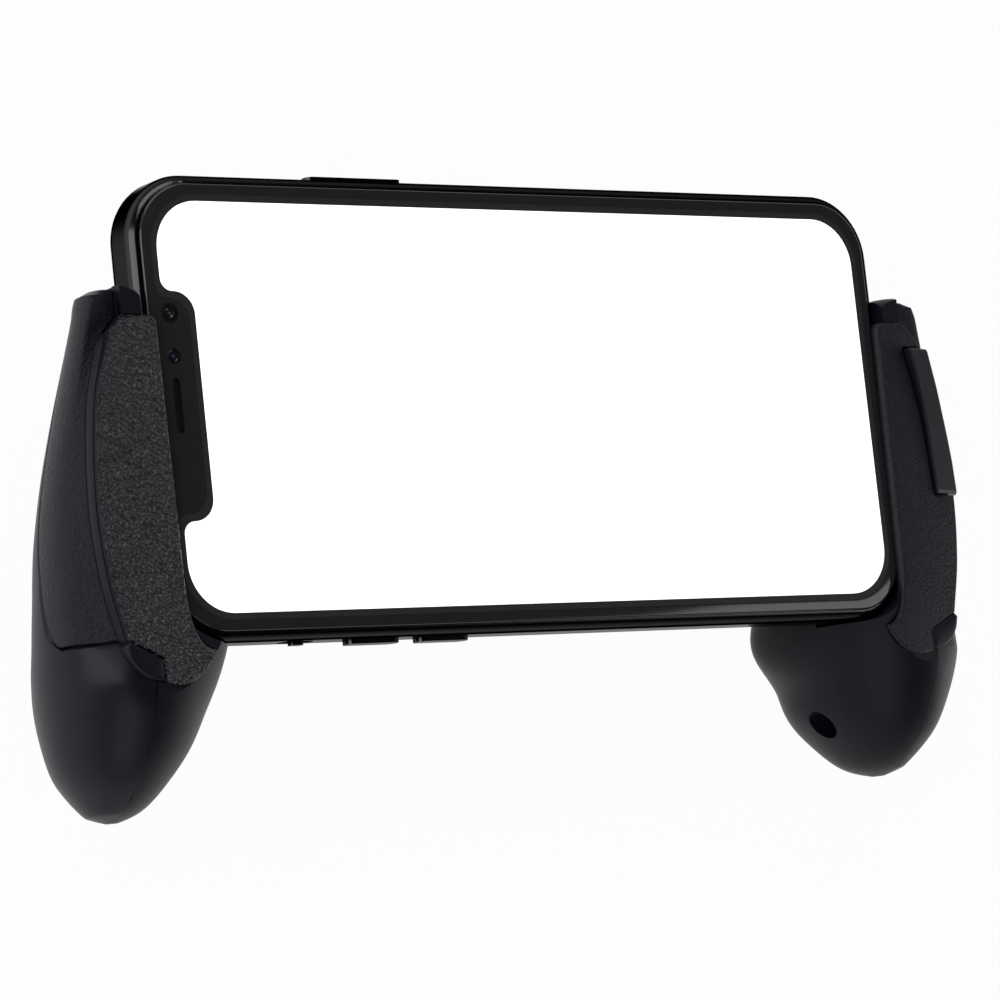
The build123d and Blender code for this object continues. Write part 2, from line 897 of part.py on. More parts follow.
# Front glass
def front_glass():
    with BuildPart() as glass:
        add(phone_plate(0, glass_inset + sim_gap, glass_thickness))
        fillet(glass.edges().group_by(Axis.Z)[-1], radius=glass_edge)
        with BuildSketch(level(-glass_thickness)):
            for up, radius in front_eyes:
                with Locations((front_camera_x, up)):
                    Circle(radius + sim_gap)
            add(earpiece_outline(0))
        extrude(amount=glass_thickness, mode=Mode.SUBTRACT)
    return glass.part


# Mesh at the bottom of the earpiece's slot
def earpiece_mesh():
    with BuildPart() as mesh:
        with BuildSketch(level(-earpiece_recess - earpiece_depth)):
            add(earpiece_outline(-sim_gap))
        extrude(amount=earpiece_depth)
    return mesh.part


# Display panel, with a notch for the eyes at its left end
def display():
    with BuildPart() as panel:
        with BuildSketch(level(-glass_thickness - display_thickness)):
            RectangleRounded(display_length, display_width, display_corner)
            with Locations((-display_length / 2, 0)):
                RectangleRounded(2 * notch_depth, notch_width, notch_corner, mode=Mode.SUBTRACT)
        extrude(amount=display_thickness)
    return panel.part


# Room of a flat piece inside the phone, by its place from the front
def inner_block(front, thickness, x, length, width):
    with BuildPart() as block:
        with BuildSketch(level(-front - thickness)):
            with Locations((x, 0)):
                Rectangle(length, width)
        extrude(amount=thickness)
    return block.part


mid_plate_front = glass_thickness + display_thickness
inside_front = mid_plate_front + mid_plate_thickness + inner_gap


# Plate that stiffens the phone behind its display
def mid_plate():
    with BuildPart() as plate:
        add(phone_plate(-mid_plate_front, frame_wall, mid_plate_thickness))
    return plate.part


def battery():
    return inner_block(inside_front, battery_thickness, battery_x, battery_length, battery_width)


def logic_board():
    return inner_block(inside_front, board_thickness, board_x, board_length, board_width)


# Socket for the plug in the frame's right end
def charging_port():
    with BuildPart() as port:
        with BuildSketch(along(phone_end - frame_wall - port_depth + port_wall)):
            with Locations((0, -phone_thickness / 2)):
                RectangleRounded(
                    port_length - 2 * sim_gap, port_height - 2 * sim_gap, port_height / 2 - port_wall,
                )
        extrude(amount=port_depth)
        with BuildSketch(along(phone_end - frame_wall - port_depth + 2 * port_wall)):
            with Locations((0, -phone_thickness / 2)):
                RectangleRounded(
                    port_length - 2 * port_wall, port_height - 2 * port_wall,
                    port_height / 2 - 1.5 * port_wall,
                )
        extrude(amount=port_depth, mode=Mode.SUBTRACT)
    return port.part


# Places of the two rear cameras, along the phone and up it
def camera_places():
    return [
        (surround_x - camera_spread / 2, surround_y),
        (surround_x + camera_spread / 2, surround_y),
    ]


# Back glass
def back_glass():
    with BuildPart() as glass:
        add(phone_plate(glass_thickness - phone_thickness, glass_inset + sim_gap, glass_thickness))
        fillet(glass.edges().group_by(Axis.Z)[0], radius=glass_edge)
        with BuildSketch(level(-phone_thickness)):
            with Locations(*camera_places()):
                Circle(camera_radius + camera_gap)
        extrude(amount=glass_thickness, mode=Mode.SUBTRACT)
    return glass.part


# Raised surround of the rear cameras
def camera_surround():
    with BuildPart() as surround:
        with BuildSketch(level(-phone_thickness - surround_proud)):
            with Locations((surround_x, surround_y)):
                SlotOverall(surround_length, surround_width)
        extrude(amount=surround_proud)
        fillet(surround.edges().group_by(Axis.Z)[0], radius=surround_proud / 3)
        with BuildSketch(level(-phone_thickness - surround_proud)):
            with Locations(*camera_places()):
                Circle(camera_radius + camera_gap)
        extrude(amount=surround_proud, mode=Mode.SUBTRACT)
        with BuildSketch(level(-phone_thickness - surround_proud)):
            with Locations((surround_x, surround_y)):
                Circle(flash_radius + camera_gap)
        extrude(amount=flash_depth, mode=Mode.SUBTRACT)
    return surround.part


# Both rear camera modules, whose lenses end just inside the surround
def rear_cameras():
    with BuildPart() as cameras:
        with BuildSketch(level(-phone_thickness - surround_proud + camera_recess)):
            with Locations(*camera_places()):
                Circle(camera_radius)
        extrude(amount=camera_depth)
    return cameras.part


def camera_flash():
    with BuildPart() as flash:
        with BuildSketch(level(-phone_thickness - surround_proud + camera_recess)):
            with Locations((surround_x, surround_y)):
                Circle(flash_radius)
        extrude(amount=flash_depth - camera_recess)
    return flash.part


# Screws: the places are planes whose z leaves the head
def outward(x, up, front, direction):
    return Plane(origin=(x, phone_y + up, glass_z + front), z_dir=direction)


shell_screw_length = screw_web + shell_screw_bite
shell_screw = screw(
    shell_screw_head_radius, shell_screw_head_height, shell_screw_radius, shell_screw_length,
)
right_shell_screw = screw_group(
    shell_screw, [outward(seam_x - screw_web, -shell_screw_down, -shell_screw_back, (-1, 0, 0))],
)
bridge_screw = screw(
    bridge_screw_head_radius, bridge_screw_head_height, bridge_screw_radius,
    socket_floor - bridge_middle - bridge_screw_head_height,
)
right_bridge_screws = screw_group(
    bridge_screw,
    [
        outward(x, up, bridge_screw_head_height - socket_floor, (0, 0, -1))
        for x, up in bridge_screw_places()
    ],
)
cover_screw = screw(
    cover_screw_head_radius, cover_screw_head_height, cover_screw_radius, cover_screw_length,
)
cover_screws = screw_group(
    cover_screw,
    [outward(x, up, cover_screw_head_height - bridge_back, (0, 0, -1)) for x, up in cover_screw_places()],
)
stop_screw = screw_group(
    screw(
        stop_screw_head_radius, stop_screw_head_height, stop_screw_radius,
        bridge_thickness - stop_screw_head_height - bridge_wall / 2,
    ),
    [outward(stop_screw_x, -bridge_down, stop_screw_head_height - bridge_back, (0, 0, -1))],
)

right_outer = outer_shell(True)
left_outer = outer_shell(False)
right_pad = jaw_pad()
upper_spring = return_spring(spring_places()[1])
lower_spring = return_spring(spring_places()[0])

finish(inner_shell(bridge_height, bridge_thickness), "right_inner_shell")
finish(mirrored(inner_shell(tongue_height, tongue_depth)), "left_inner_shell")
finish(right_outer, "right_outer_shell")
finish(mirrored(left_outer), "left_outer_shell")
finish(side_panel(True), "right_side_panel")
finish(mirrored(side_panel(False)), "left_side_panel")
finish(jaw_plate(True), "right_jaw_plate")
finish(mirrored(jaw_plate(False)), "left_jaw_plate")
finish(right_pad, "right_jaw_pad")
finish(mirrored(right_pad), "left_jaw_pad")
finish(right_shell_screw, "right_shell_screw")
finish(mirrored(right_shell_screw), "left_shell_screw")
finish(right_bridge_screws, "right_bridge_screws")
finish(mirrored(right_bridge_screws), "left_bridge_screws")
finish(bridge_tray(), "bridge_tray")
finish(bridge_cover(), "bridge_cover")
finish(bridge_tongue(), "bridge_tongue")
finish(cover_screws, "cover_screws")
finish(stop_screw, "stop_screw")
finish(upper_spring, "upper_spring")
finish(lower_spring, "lower_spring")
finish(phone_rest_pads(), "phone_rest_pads")
finish(phone_frame(), "phone_frame")
finish(front_glass(), "front_glass")
finish(display(), "display")
finish(front_eye(*front_eyes[0]), "front_camera")
finish(front_eye(*front_eyes[1]), "front_sensor")
finish(earpiece_mesh(), "earpiece_mesh")
finish(mid_plate(), "mid_plate")
finish(battery(), "battery")
finish(logic_board(), "logic_board")
finish(charging_port(), "charging_port")
finish(back_glass(), "back_glass")
finish(camera_surround(), "camera_surround")
finish(rear_cameras(), "rear_cameras")
finish(camera_flash(), "camera_flash")
finish(sim_tray(), "sim_tray")
finish(side_key(power_key_x, 1, power_key_length), "power_key")
finish(side_key(volume_up_x, -1, volume_key_length), "volume_up_key")
finish(side_key(volume_down_x, -1, volume_key_length), "volume_down_key")
finish(mute_switch(), "mute_switch")
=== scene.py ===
import bmesh
import bpy
import numpy as np
from mathutils import Matrix, Vector


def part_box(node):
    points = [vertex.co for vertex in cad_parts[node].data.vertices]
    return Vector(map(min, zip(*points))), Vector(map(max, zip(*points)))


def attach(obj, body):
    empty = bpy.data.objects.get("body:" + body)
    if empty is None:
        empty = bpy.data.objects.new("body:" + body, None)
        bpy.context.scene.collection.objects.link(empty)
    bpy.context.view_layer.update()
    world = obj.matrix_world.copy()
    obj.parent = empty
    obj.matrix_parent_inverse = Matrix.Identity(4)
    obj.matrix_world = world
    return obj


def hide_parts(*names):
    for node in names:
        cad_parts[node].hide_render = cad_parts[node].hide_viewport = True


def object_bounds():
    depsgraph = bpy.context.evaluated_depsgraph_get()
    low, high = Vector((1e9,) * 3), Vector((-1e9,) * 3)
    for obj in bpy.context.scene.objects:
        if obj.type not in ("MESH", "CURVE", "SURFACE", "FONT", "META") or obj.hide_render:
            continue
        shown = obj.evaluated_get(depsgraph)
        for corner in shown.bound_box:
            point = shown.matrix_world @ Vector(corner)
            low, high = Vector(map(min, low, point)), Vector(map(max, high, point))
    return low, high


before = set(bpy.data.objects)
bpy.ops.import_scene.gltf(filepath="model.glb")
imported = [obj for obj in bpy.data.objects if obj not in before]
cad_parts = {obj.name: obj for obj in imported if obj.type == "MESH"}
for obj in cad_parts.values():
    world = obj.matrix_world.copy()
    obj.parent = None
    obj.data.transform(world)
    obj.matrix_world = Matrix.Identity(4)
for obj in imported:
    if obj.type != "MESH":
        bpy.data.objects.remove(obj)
cadBox = [list(corner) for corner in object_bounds()]
print("stage: frame loaded,", len(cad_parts), "nodes")

# All lengths below are millimetres, measured from the middle of the phone's glass:
# across to the handle's side, up the screen, and out of the screen.
mm = 0.001
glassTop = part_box("front_glass")[1].z / mm
frameLow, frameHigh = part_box("phone_frame")
phoneMiddle = (frameLow.y + frameHigh.y) / 2 / mm
phoneEnd = frameHigh.x / mm
phoneHalfWidth = (frameHigh.y - frameLow.y) / 2 / mm
sides = {"right": 1, "left": -1}


def toFrame(points, side=1):
    # millimetres about the glass become metres in the shared frame, mirrored for the left handle
    points = np.asarray(points, float)
    return np.stack([
        side * points[..., 0], points[..., 1] + phoneMiddle, points[..., 2] + glassTop,
    ], axis=-1) * mm


def hexToLinear(code):
    # sRGB hex to linear light: c / 12.92 below 0.04045, else ((c + 0.055) / 1.055) ^ 2.4
    values = np.array([int(code[i:i + 2], 16) for i in (1, 3, 5)]) / 255
    low = values / 12.92
    high = ((values + 0.055) / 1.055) ** 2.4
    return (*np.where(values <= 0.04045, low, high).tolist(), 1.0)


def addNode(tree, kind, settings=None, inputs=None):
    # one node with its settings; each input is a value or a link from another node's socket
    node = tree.nodes.new(kind)
    for key, value in (settings or {}).items():
        setattr(node, key, value)
    for key, value in (inputs or {}).items():
        if isinstance(value, bpy.types.NodeSocket):
            tree.links.new(value, node.inputs[key])
        else:
            node.inputs[key].default_value = value
    return node


# finishes: colour, worn and paintedHighlightTops are sRGB hex, the last a painted highlight colour
# for pebble tops; grain and mottle are feature sizes and depth is the relief, in mm
finishes = {
    # ABS from a satin-polished mould: an even, soft sheen that spreads along the curve
    "satinMouldedAbs": dict(
        colour="#0e1018", worn="#131520", roughness=0.42,
        grain=0.22, depth=0.004, mottle=14, level=0.22),
    # the same ABS on the inner shells, where the mould is less polished: a duller sheen, and a
    # darker colour as painted shade on the inner side
    "satinInnerAbsPaintedShade": dict(
        colour="#0c0e15", worn="#12141d", roughness=0.44,
        grain=0.22, depth=0.004, mottle=14, level=0.19),
    # ABS from a spark-eroded mould: a fine dry grain that breaks the highlight up; the real grain
    # is about 0.1 mm and is drawn coarser, so that it shows
    "sparkGrainAbs": dict(
        colour="#0e1018", worn="#141622", roughness=0.40,
        grain=0.50, depth=0.26, mottle=10, level=0.28),
    # ABS from an etched leather-pattern mould: coarse pebbles with glossy tops and dull pits, the
    # tops painted lighter as a highlight and the pits painted near black as shade
    "leatherGrainAbs": dict(
        colour="#0e1017", worn="#151822", roughness=0.30,
        grain=0.64, depth=0.85, mottle=8, pebbles=True, level=0.5, paintedHighlightTops="#181a26"),
    # ABS from a lightly textured mould: an even dull black
    "texturedMouldedAbs": dict(
        colour="#1a1b1e", worn="#222326", roughness=0.52, grain=0.35, depth=0.010, mottle=18),
    # moulded silicone rubber: matte, with no clear highlight
    "mouldedSilicone": dict(
        colour="#141416", worn="#1b1b1e", roughness=0.74, grain=0.30, depth=0.010, mottle=6),
    # zinc-plated steel screws: bright grey with a soft reflection
    "zincPlatedSteel": dict(
        colour="#9a9ca0", worn="#85868a", roughness=0.34,
        metallic=1, grain=0.15, depth=0.002, mottle=2),
    # drawn spring wire: a little darker and shinier than the screws
    "drawnSpringSteel": dict(
        colour="#8d8f92", worn="#77797c", roughness=0.28,
        metallic=1, grain=0.2, depth=0.001, mottle=3),
    # black coated stainless steel, polished: a dark mirror
    "polishedBlackSteel": dict(
        colour="#3a3a3b", worn="#3f3f40", roughness=0.17,
        metallic=1, grain=0.3, depth=0.0, mottle=20, edgeTint="#6a6a6a"),
    # polished cover glass over black print: smooth, dark and clear in its reflections
    "polishedBlackGlass": dict(
        colour="#262626", worn="#292929", roughness=0.08,
        grain=0.8, depth=0.0, mottle=20, ior=1.52),
    # the print that borders the lit part, seen through the glass: a shade lighter and softer
    "printedBorderGlass": dict(
        colour="#303030", worn="#333333", roughness=0.2,
        grain=0.8, depth=0.0, mottle=20, ior=1.52),
    # polished back glass over dark print: the clearest reflections on the phone
    "polishedBackGlass": dict(
        colour="#16171a", worn="#191a1d", roughness=0.06,
        grain=0.8, depth=0.0, mottle=30, ior=1.52),
    # ground lens with an anti-reflection coat: near black with a blue cast
    "coatedLensGlass": dict(
        colour="#181a26", worn="#101116", roughness=0.05,
        grain=0.8, depth=0.0, mottle=1.5, ior=1.6),
    # black painted lens barrel: takes nearly all the light
    "blackPaintedBarrel": dict(
        colour="#050506", worn="#08080a", roughness=0.3, grain=0.3, depth=0.002, mottle=4),
    # inner lens element, seen small and grey in the middle of the coated one
    "innerLensGlass": dict(
        colour="#3c4048", worn="#30333a", roughness=0.2, grain=0.8, depth=0.0, mottle=1, ior=1.6),
    # woven black wire over the earpiece: tiny bumps, no shine
    "wovenBlackMesh": dict(
        colour="#050605", worn="#0a0c0b", roughness=0.7,
        level=0.15, grain=0.18, depth=0.03, mottle=1, pebbles=True),
    # frosted polycarbonate over the flash: milky yellow
    "frostedPolycarbonate": dict(
        colour="#e3dcbc", worn="#d8d0ac", roughness=0.25, grain=0.25, depth=0.01, mottle=1),
    # machined aluminium: pale grey with a soft reflection
    "machinedAluminium": dict(
        colour="#8f9193", worn="#808284", roughness=0.36,
        metallic=1, grain=0.3, depth=0.002, mottle=8),
    # black polymer film round the battery: smooth and slightly shiny
    "blackPolymerFilm": dict(
        colour="#17181a", worn="#1d1e20", roughness=0.4, grain=0.5, depth=0.01, mottle=12),
    # green solder mask printed on glass-fibre board: smooth green over fine relief
    "greenSolderMask": dict(
        colour="#123a24", worn="#0f3320", roughness=0.35, grain=0.9, depth=0.02, mottle=3),
}
# shared by all finishes: how much the patches change the shine, how uneven patches and grain are,
# how far pebbles are bent as a share of their size, and where in a cell they darken to the painted
# pit shade
texture = {
    "shineChange": 0.14, "patchDetail": 3.0, "patchRoughness": 0.6, "grainDetail": 4.0,
    "grainRoughness": 0.62, "bendScale": 0.7, "bend": 0.9, "softness": 0.35, "pitShadeFrom": 0.15,
    "pitShadeTo": 0.7, "paintedPitShade": "#050506",
}


def makeFinish(name, colour, worn, roughness, grain, depth, mottle, metallic=0, ior=None,
               pebbles=False, level=0.5, edgeTint=None, paintedHighlightTops=None):
    # colour and shine drift in patches between two values, and a bump gives the grain its relief;
    # pebbles also get a painted highlight colour on their tops and painted shade in their pits
    material = bpy.data.materials.new(name)
    material.use_nodes = True
    tree = material.node_tree
    tree.nodes.clear()
    place = addNode(tree, "ShaderNodeTexCoord").outputs["Object"]
    patches = addNode(
        tree, "ShaderNodeTexNoise", {},
        {"Vector": place, "Scale": 1 / (mottle * mm), "Detail": texture["patchDetail"],
         "Roughness": texture["patchRoughness"]},
    ).outputs["Fac"]
    tint = addNode(
        tree, "ShaderNodeMix", {"data_type": "RGBA"},
        {"Factor": patches, 6: hexToLinear(colour), 7: hexToLinear(worn)},
    ).outputs[2]
    shine = addNode(
        tree, "ShaderNodeMapRange", {},
        {"Value": patches, "To Min": roughness * (1 - texture["shineChange"]),
         "To Max": min(roughness * (1 + texture["shineChange"]), 1.0)},
    ).outputs["Result"]
    surface = {
        "Base Color": tint, "Roughness": shine, "Metallic": float(metallic),
        "Specular IOR Level": level,
    }
    if edgeTint:
        surface["Specular Tint"] = hexToLinear(edgeTint)
    if ior:
        surface["IOR"] = ior
    if depth > 0 and pebbles:
        # smooth cells are the pebbles, and finer noise makes them uneven
        warp = addNode(
            tree, "ShaderNodeTexNoise", {},
            {"Vector": place, "Scale": texture["bendScale"] / (grain * mm),
             "Detail": texture["patchDetail"]},
        ).outputs
        bent = addNode(
            tree, "ShaderNodeVectorMath", {"operation": "SCALE"},
            {0: warp["Color"], "Scale": texture["bend"] * grain * mm},
        ).outputs["Vector"]
        moved = addNode(
            tree, "ShaderNodeVectorMath", {"operation": "ADD"}, {0: place, 1: bent},
        ).outputs["Vector"]
        cells = addNode(
            tree, "ShaderNodeTexVoronoi", {"feature": "SMOOTH_F1"},
            {"Vector": moved, "Scale": 1 / (grain * mm), "Smoothness": texture["softness"],
             "Randomness": 1.0},
        ).outputs["Distance"]
        height = addNode(
            tree, "ShaderNodeMath", {"operation": "SUBTRACT"}, {0: warp["Fac"], 1: cells},
        ).outputs["Value"]
        # painted light: from each cell's middle outward, the colour goes from the painted highlight
        # of the pebble top to the painted near-black shade of the pit
        pits = addNode(
            tree, "ShaderNodeMapRange", {},
            {"Value": cells, "From Min": texture["pitShadeFrom"], "From Max": texture["pitShadeTo"]},
        ).outputs["Result"]
        surface["Base Color"] = addNode(
            tree, "ShaderNodeMix", {"data_type": "RGBA"},
            {"Factor": pits, 6: hexToLinear(paintedHighlightTops or colour), 7: hexToLinear(texture["paintedPitShade"])},
        ).outputs[2]
    elif depth > 0:
        height = addNode(
            tree, "ShaderNodeTexNoise", {},
            {"Vector": place, "Scale": 1 / (grain * mm), "Detail": texture["grainDetail"],
             "Roughness": texture["grainRoughness"]},
        ).outputs["Fac"]
    if depth > 0:
        surface["Normal"] = addNode(
            tree, "ShaderNodeBump", {}, {"Height": height, "Distance": depth * mm, "Strength": 1.0},
        ).outputs["Normal"]
    shader = addNode(tree, "ShaderNodeBsdfPrincipled", {}, surface)
    addNode(tree, "ShaderNodeOutputMaterial", {}, {"Surface": shader.outputs["BSDF"]})
    return material


finish = {name: makeFinish(name, **look) for name, look in finishes.items()}

# display panel that is switched on: plain white with a light of its own
display = {"colour": "#ffffff", "strength": 1.0, "roughness": 0.1}
litDisplay = bpy.data.materials.new("litDisplayPanel")
litDisplay.use_nodes = True
litShader = litDisplay.node_tree.nodes["Principled BSDF"]
for socket, value in (
    ("Base Color", hexToLinear(display["colour"])), ("Roughness", display["roughness"]),
    ("Emission Color", hexToLinear(display["colour"])), ("Emission Strength", display["strength"]),
):
    litShader.inputs[socket].default_value = value
print("stage: finishes made,", len(finish) + 1)

# finish of every CAD node, also of those that a piece further down stands for
nodeFinish = {
    "satinInnerAbsPaintedShade": ["right_inner_shell", "left_inner_shell"],
    "satinMouldedAbs": ["right_outer_shell", "left_outer_shell"],
    "sparkGrainAbs": ["right_side_panel", "left_side_panel", "right_jaw_plate"],
    "leatherGrainAbs": ["left_jaw_plate"],
    "texturedMouldedAbs": ["bridge_tray", "bridge_cover", "bridge_tongue"],
    "mouldedSilicone": ["right_jaw_pad", "left_jaw_pad", "phone_rest_pads"],
    "zincPlatedSteel": ["right_shell_screw", "left_shell_screw", "right_bridge_screws",
                        "left_bridge_screws", "cover_screws", "stop_screw"],
    "drawnSpringSteel": ["upper_spring", "lower_spring"],
    "polishedBlackSteel": ["phone_frame", "sim_tray", "power_key", "volume_up_key",
                           "volume_down_key", "mute_switch", "camera_surround"],
    "polishedBlackGlass": ["front_glass"],
    "polishedBackGlass": ["back_glass"],
    "coatedLensGlass": ["front_camera", "front_sensor", "rear_cameras"],
    "wovenBlackMesh": ["earpiece_mesh"],
    "frostedPolycarbonate": ["camera_flash"],
    "machinedAluminium": ["mid_plate", "charging_port"],
    "blackPolymerFilm": ["battery"],
    "greenSolderMask": ["logic_board"],
}
for name, nodes in nodeFinish.items():
    for node in nodes:
        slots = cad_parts[node].data.materials
        slots.clear()
        slots.append(finish[name])
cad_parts["display"].data.materials.clear()
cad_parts["display"].data.materials.append(litDisplay)
print("stage: CAD nodes dressed")

# points closer than this many mm become one, and edges sharper than this many degrees stay sharp
meshing = {"merge": 0.002, "sharp": 38}


def makePiece(name, points, faces, body, node, materials, faceSlots=None):
    # a finished piece that stands for a CAD node: doubles merged and faces turned outward
    mesh = bpy.data.meshes.new(name)
    mesh.from_pydata(points.tolist(), [], faces)
    if faceSlots is not None:
        mesh.polygons.foreach_set("material_index", np.asarray(faceSlots, np.int32))
    shape = bmesh.new()
    shape.from_mesh(mesh)
    bmesh.ops.remove_doubles(shape, verts=shape.verts, dist=meshing["merge"] * mm)
    bmesh.ops.recalc_face_normals(shape, faces=shape.faces)
    shape.to_mesh(mesh)
    shape.free()
    mesh.shade_smooth()
    mesh.set_sharp_from_angle(angle=np.radians(meshing["sharp"]))
    for material in materials:
        mesh.materials.append(material)
    piece = bpy.data.objects.new(name, mesh)
    bpy.context.scene.collection.objects.link(piece)
    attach(piece, body)
    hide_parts(node)


def openGrid(points):
    # rows of closed loops become quads, each between one loop and the next
    rows, columns = points.shape[:2]
    index = np.arange(rows * columns).reshape(rows, columns)
    right = np.roll(index, -1, axis=1)
    quads = np.stack([index[:-1], right[:-1], right[1:], index[1:]], axis=-1)
    return points.reshape(-1, 3), quads.reshape(-1, 4).tolist()


def loopGrid(points):
    # the same with the first and last loop capped
    flat, quads = openGrid(points)
    first = np.arange(points.shape[1])
    last = len(flat) - 1 - first
    return flat, quads + [first.tolist(), last.tolist()]


def joined(*parts):
    # several pairs of points and faces as one: each part's faces count on from the points before it
    starts = np.cumsum([0] + [len(points) for points, faces in parts])
    return np.vstack([points for points, faces in parts]), [
        [corner + int(start) for corner in face]
        for start, (points, faces) in zip(starts, parts) for face in faces
    ]


def flatLoop(outline, height):
    # a flat outline as points at one height
    return np.column_stack([outline, np.full(len(outline), height)])


def lineAt(line, up, column=0, heights=1):
    # one column of a line that runs down, read at these heights, which are in another column
    return np.interp(-np.asarray(up, float), -line[:, heights], line[:, column])


def throughRows(rows, places):
    # Catmull-Rom curve: with a..d the four rows round a place at share t between b and c,
    # value = b + t (c - a) / 2 + t^2 (2a - 5b + 4c - d) / 2 + t^3 (3b - a - 3c + d) / 2
    rows = np.asarray(rows, float)
    padded = np.vstack([2 * rows[0] - rows[1], rows, 2 * rows[-1] - rows[-2]])
    start = np.clip(np.floor(places).astype(int), 0, len(rows) - 2)
    share = (np.asarray(places) - start)[:, None]
    a, b, c, d = (padded[start + k] for k in range(4))
    return b + share * (c - a) / 2 + share ** 2 * (2 * a - 5 * b + 4 * c - d) / 2 \
        + share ** 3 * (3 * b - a - 3 * c + d) / 2


# the horn that both handles are made of
handle = {
    "top": 17.9, "length": 77.9, "bulbWidth": 29.4, "bulbDepth": 33.2, "seam": phoneEnd + 3.7,
    "seamGap": 0.02, "front": 1.2, "frontSoft": 1.6, "wall": 2.4, "edge": 0.28, "leastHalf": 0.15,
    "steps": 721,
}
# from the top of the horn to its tip: share of the length; then, as shares of half the bulb's width
# or depth, how far out from the phone's end, how far behind the glass, half width and half depth;
# and the lean of the long axis in degrees
hornShares = [
    (0.00, 0.27, 0.16, 0.10, 0.09, 0),
    (0.01, 0.26, 0.15, 0.30, 0.26, 0),
    (0.03, 0.24, 0.15, 0.37, 0.32, 0),
    (0.06, 0.22, 0.15, 0.42, 0.37, 0),
    (0.14, 0.17, 0.20, 0.56, 0.50, 0),
    (0.24, 0.16, 0.27, 0.69, 0.61, 0),
    (0.36, 0.16, 0.36, 0.81, 0.71, 0),
    (0.48, 0.12, 0.45, 0.92, 0.81, 0),
    (0.59, 0.04, 0.53, 1.01, 0.89, 6),
    (0.66, 0.01, 0.65, 1.00, 0.95, 12),
    (0.72, 0.00, 0.78, 0.97, 0.99, 18),
    (0.78, 0.03, 0.87, 0.90, 0.97, 22),
    (0.84, 0.07, 0.92, 0.80, 0.87, 23),
    (0.90, 0.12, 0.96, 0.66, 0.72, 22),
    (0.94, 0.15, 0.98, 0.51, 0.56, 20),
    (0.98, 0.18, 1.00, 0.31, 0.33, 19),
    (0.99, 0.19, 1.00, 0.22, 0.23, 19),
    (1.00, 0.20, 1.00, 0.07, 0.07, 19),
]
hornCurve = throughRows(hornShares, np.linspace(0, len(hornShares) - 1, handle["steps"]))
hornHeights = handle["top"] - np.maximum.accumulate(hornCurve[:, 0]) * handle["length"]


def hornAt(up):
    # middle, half sizes and lean of the horn's cross-section at these heights
    share = [np.interp(-np.asarray(up, float), -hornHeights, column) for column in hornCurve.T[1:]]
    halfWidth, halfDepth = handle["bulbWidth"] / 2, handle["bulbDepth"] / 2
    return (phoneEnd + share[0] * halfWidth, -share[1] * halfDepth,
            share[2] * halfWidth, share[3] * halfDepth, np.radians(share[4]))


def insetHalf(half, inset):
    # half a width less the wall, but never quite nothing
    return np.maximum(half - inset, handle["leastHalf"])


def skinPoint(up, turn, inset=0.0):
    # ellipse turned by its lean, with side = (half width - inset) cos(turn) and
    # rise = (half depth - inset) sin(turn)
    middleX, middleZ, halfWide, halfDeep, lean = hornAt(up)
    side = insetHalf(halfWide, inset) * np.cos(turn)
    rise = insetHalf(halfDeep, inset) * np.sin(turn)
    return np.stack(np.broadcast_arrays(
        middleX + side * np.cos(lean) + rise * np.sin(lean), up,
        middleZ - side * np.sin(lean) + rise * np.cos(lean),
    ), axis=-1)


def turnsAtOut(up, out, inset=0.0):
    # the two turns at which the ellipse is this far out: phase +- arccos(offset / reach)
    middleX, middleZ, halfWide, halfDeep, lean = hornAt(up)
    across = insetHalf(halfWide, inset) * np.cos(lean)
    along = insetHalf(halfDeep, inset) * np.sin(lean)
    phase = np.arctan2(along, across)
    spread = np.arccos(np.clip((out - middleX) / np.hypot(across, along), -1, 1))
    return phase + spread, phase - spread


def turnAtDepth(up, depth):
    # the turn on the outer side at which the ellipse is this far in front of the glass
    middleX, middleZ, halfWide, halfDeep, lean = hornAt(up)
    across, along = -halfWide * np.sin(lean), halfDeep * np.cos(lean)
    spread = np.arccos(np.clip((depth - middleZ) / np.hypot(across, along), -1, 1))
    return np.arctan2(along, across) - spread


def smoothLine(places, count=40):
    # Catmull-Rom line through the places, as evenly counted points
    return throughRows(places, np.linspace(0, len(places) - 1, count))


def bowed(start, middle, end, count=24):
    # parabola through three points: (1 - t)^2 start + 2 t (1 - t) pull + t^2 end, in which
    # pull = 2 middle - (start + end) / 2
    start, middle, end = (np.asarray(p, float) for p in (start, middle, end))
    pull = 2 * middle - (start + end) / 2
    t = np.linspace(0, 1, count)[:, None]
    return (1 - t) ** 2 * start + 2 * t * (1 - t) * pull + t ** 2 * end


# front plates of the jaws, and the lug beside each
jaw = {
    "reach": 10.8, "length": 55.3, "top": 13.6, "lap": 1.9, "low": 0.3, "high": 1.8, "corner": 1.0,
    "spacing": 0.4, "edge": 0.35, "chamfer": 1.25, "chamferLength": 1.2, "rolledEdge": 1.0,
    "rolledPast": 4.0, "lugEdge": 0.55, "lugLow": -1.6, "lugSpacing": 0.3, "lugShrink": 0.985,
}


def jawPlace(outShare, downShare):
    # shares of the plate's reach from the phone's end and of its length from its top
    return (phoneEnd + outShare * jaw["reach"], jaw["top"] - downShare * jaw["length"])


seamStart, seamBend, seamEnd = jawPlace(0.74, 0.88), jawPlace(0.22, 0.93), jawPlace(0.24, 0.99)
tongueSide, innerStart = jawPlace(-0.64, 0.91), jawPlace(-0.22, 0.72)
innerEnd = (phoneEnd - jaw["lap"], jaw["top"] - jaw["corner"])
plateSide = np.vstack([
    jawPlace(0.34, 0),
    smoothLine([jawPlace(0.60, 0.05), jawPlace(0.88, 0.24), jawPlace(1.00, 0.50),
                jawPlace(0.93, 0.71), seamStart], 90),
])
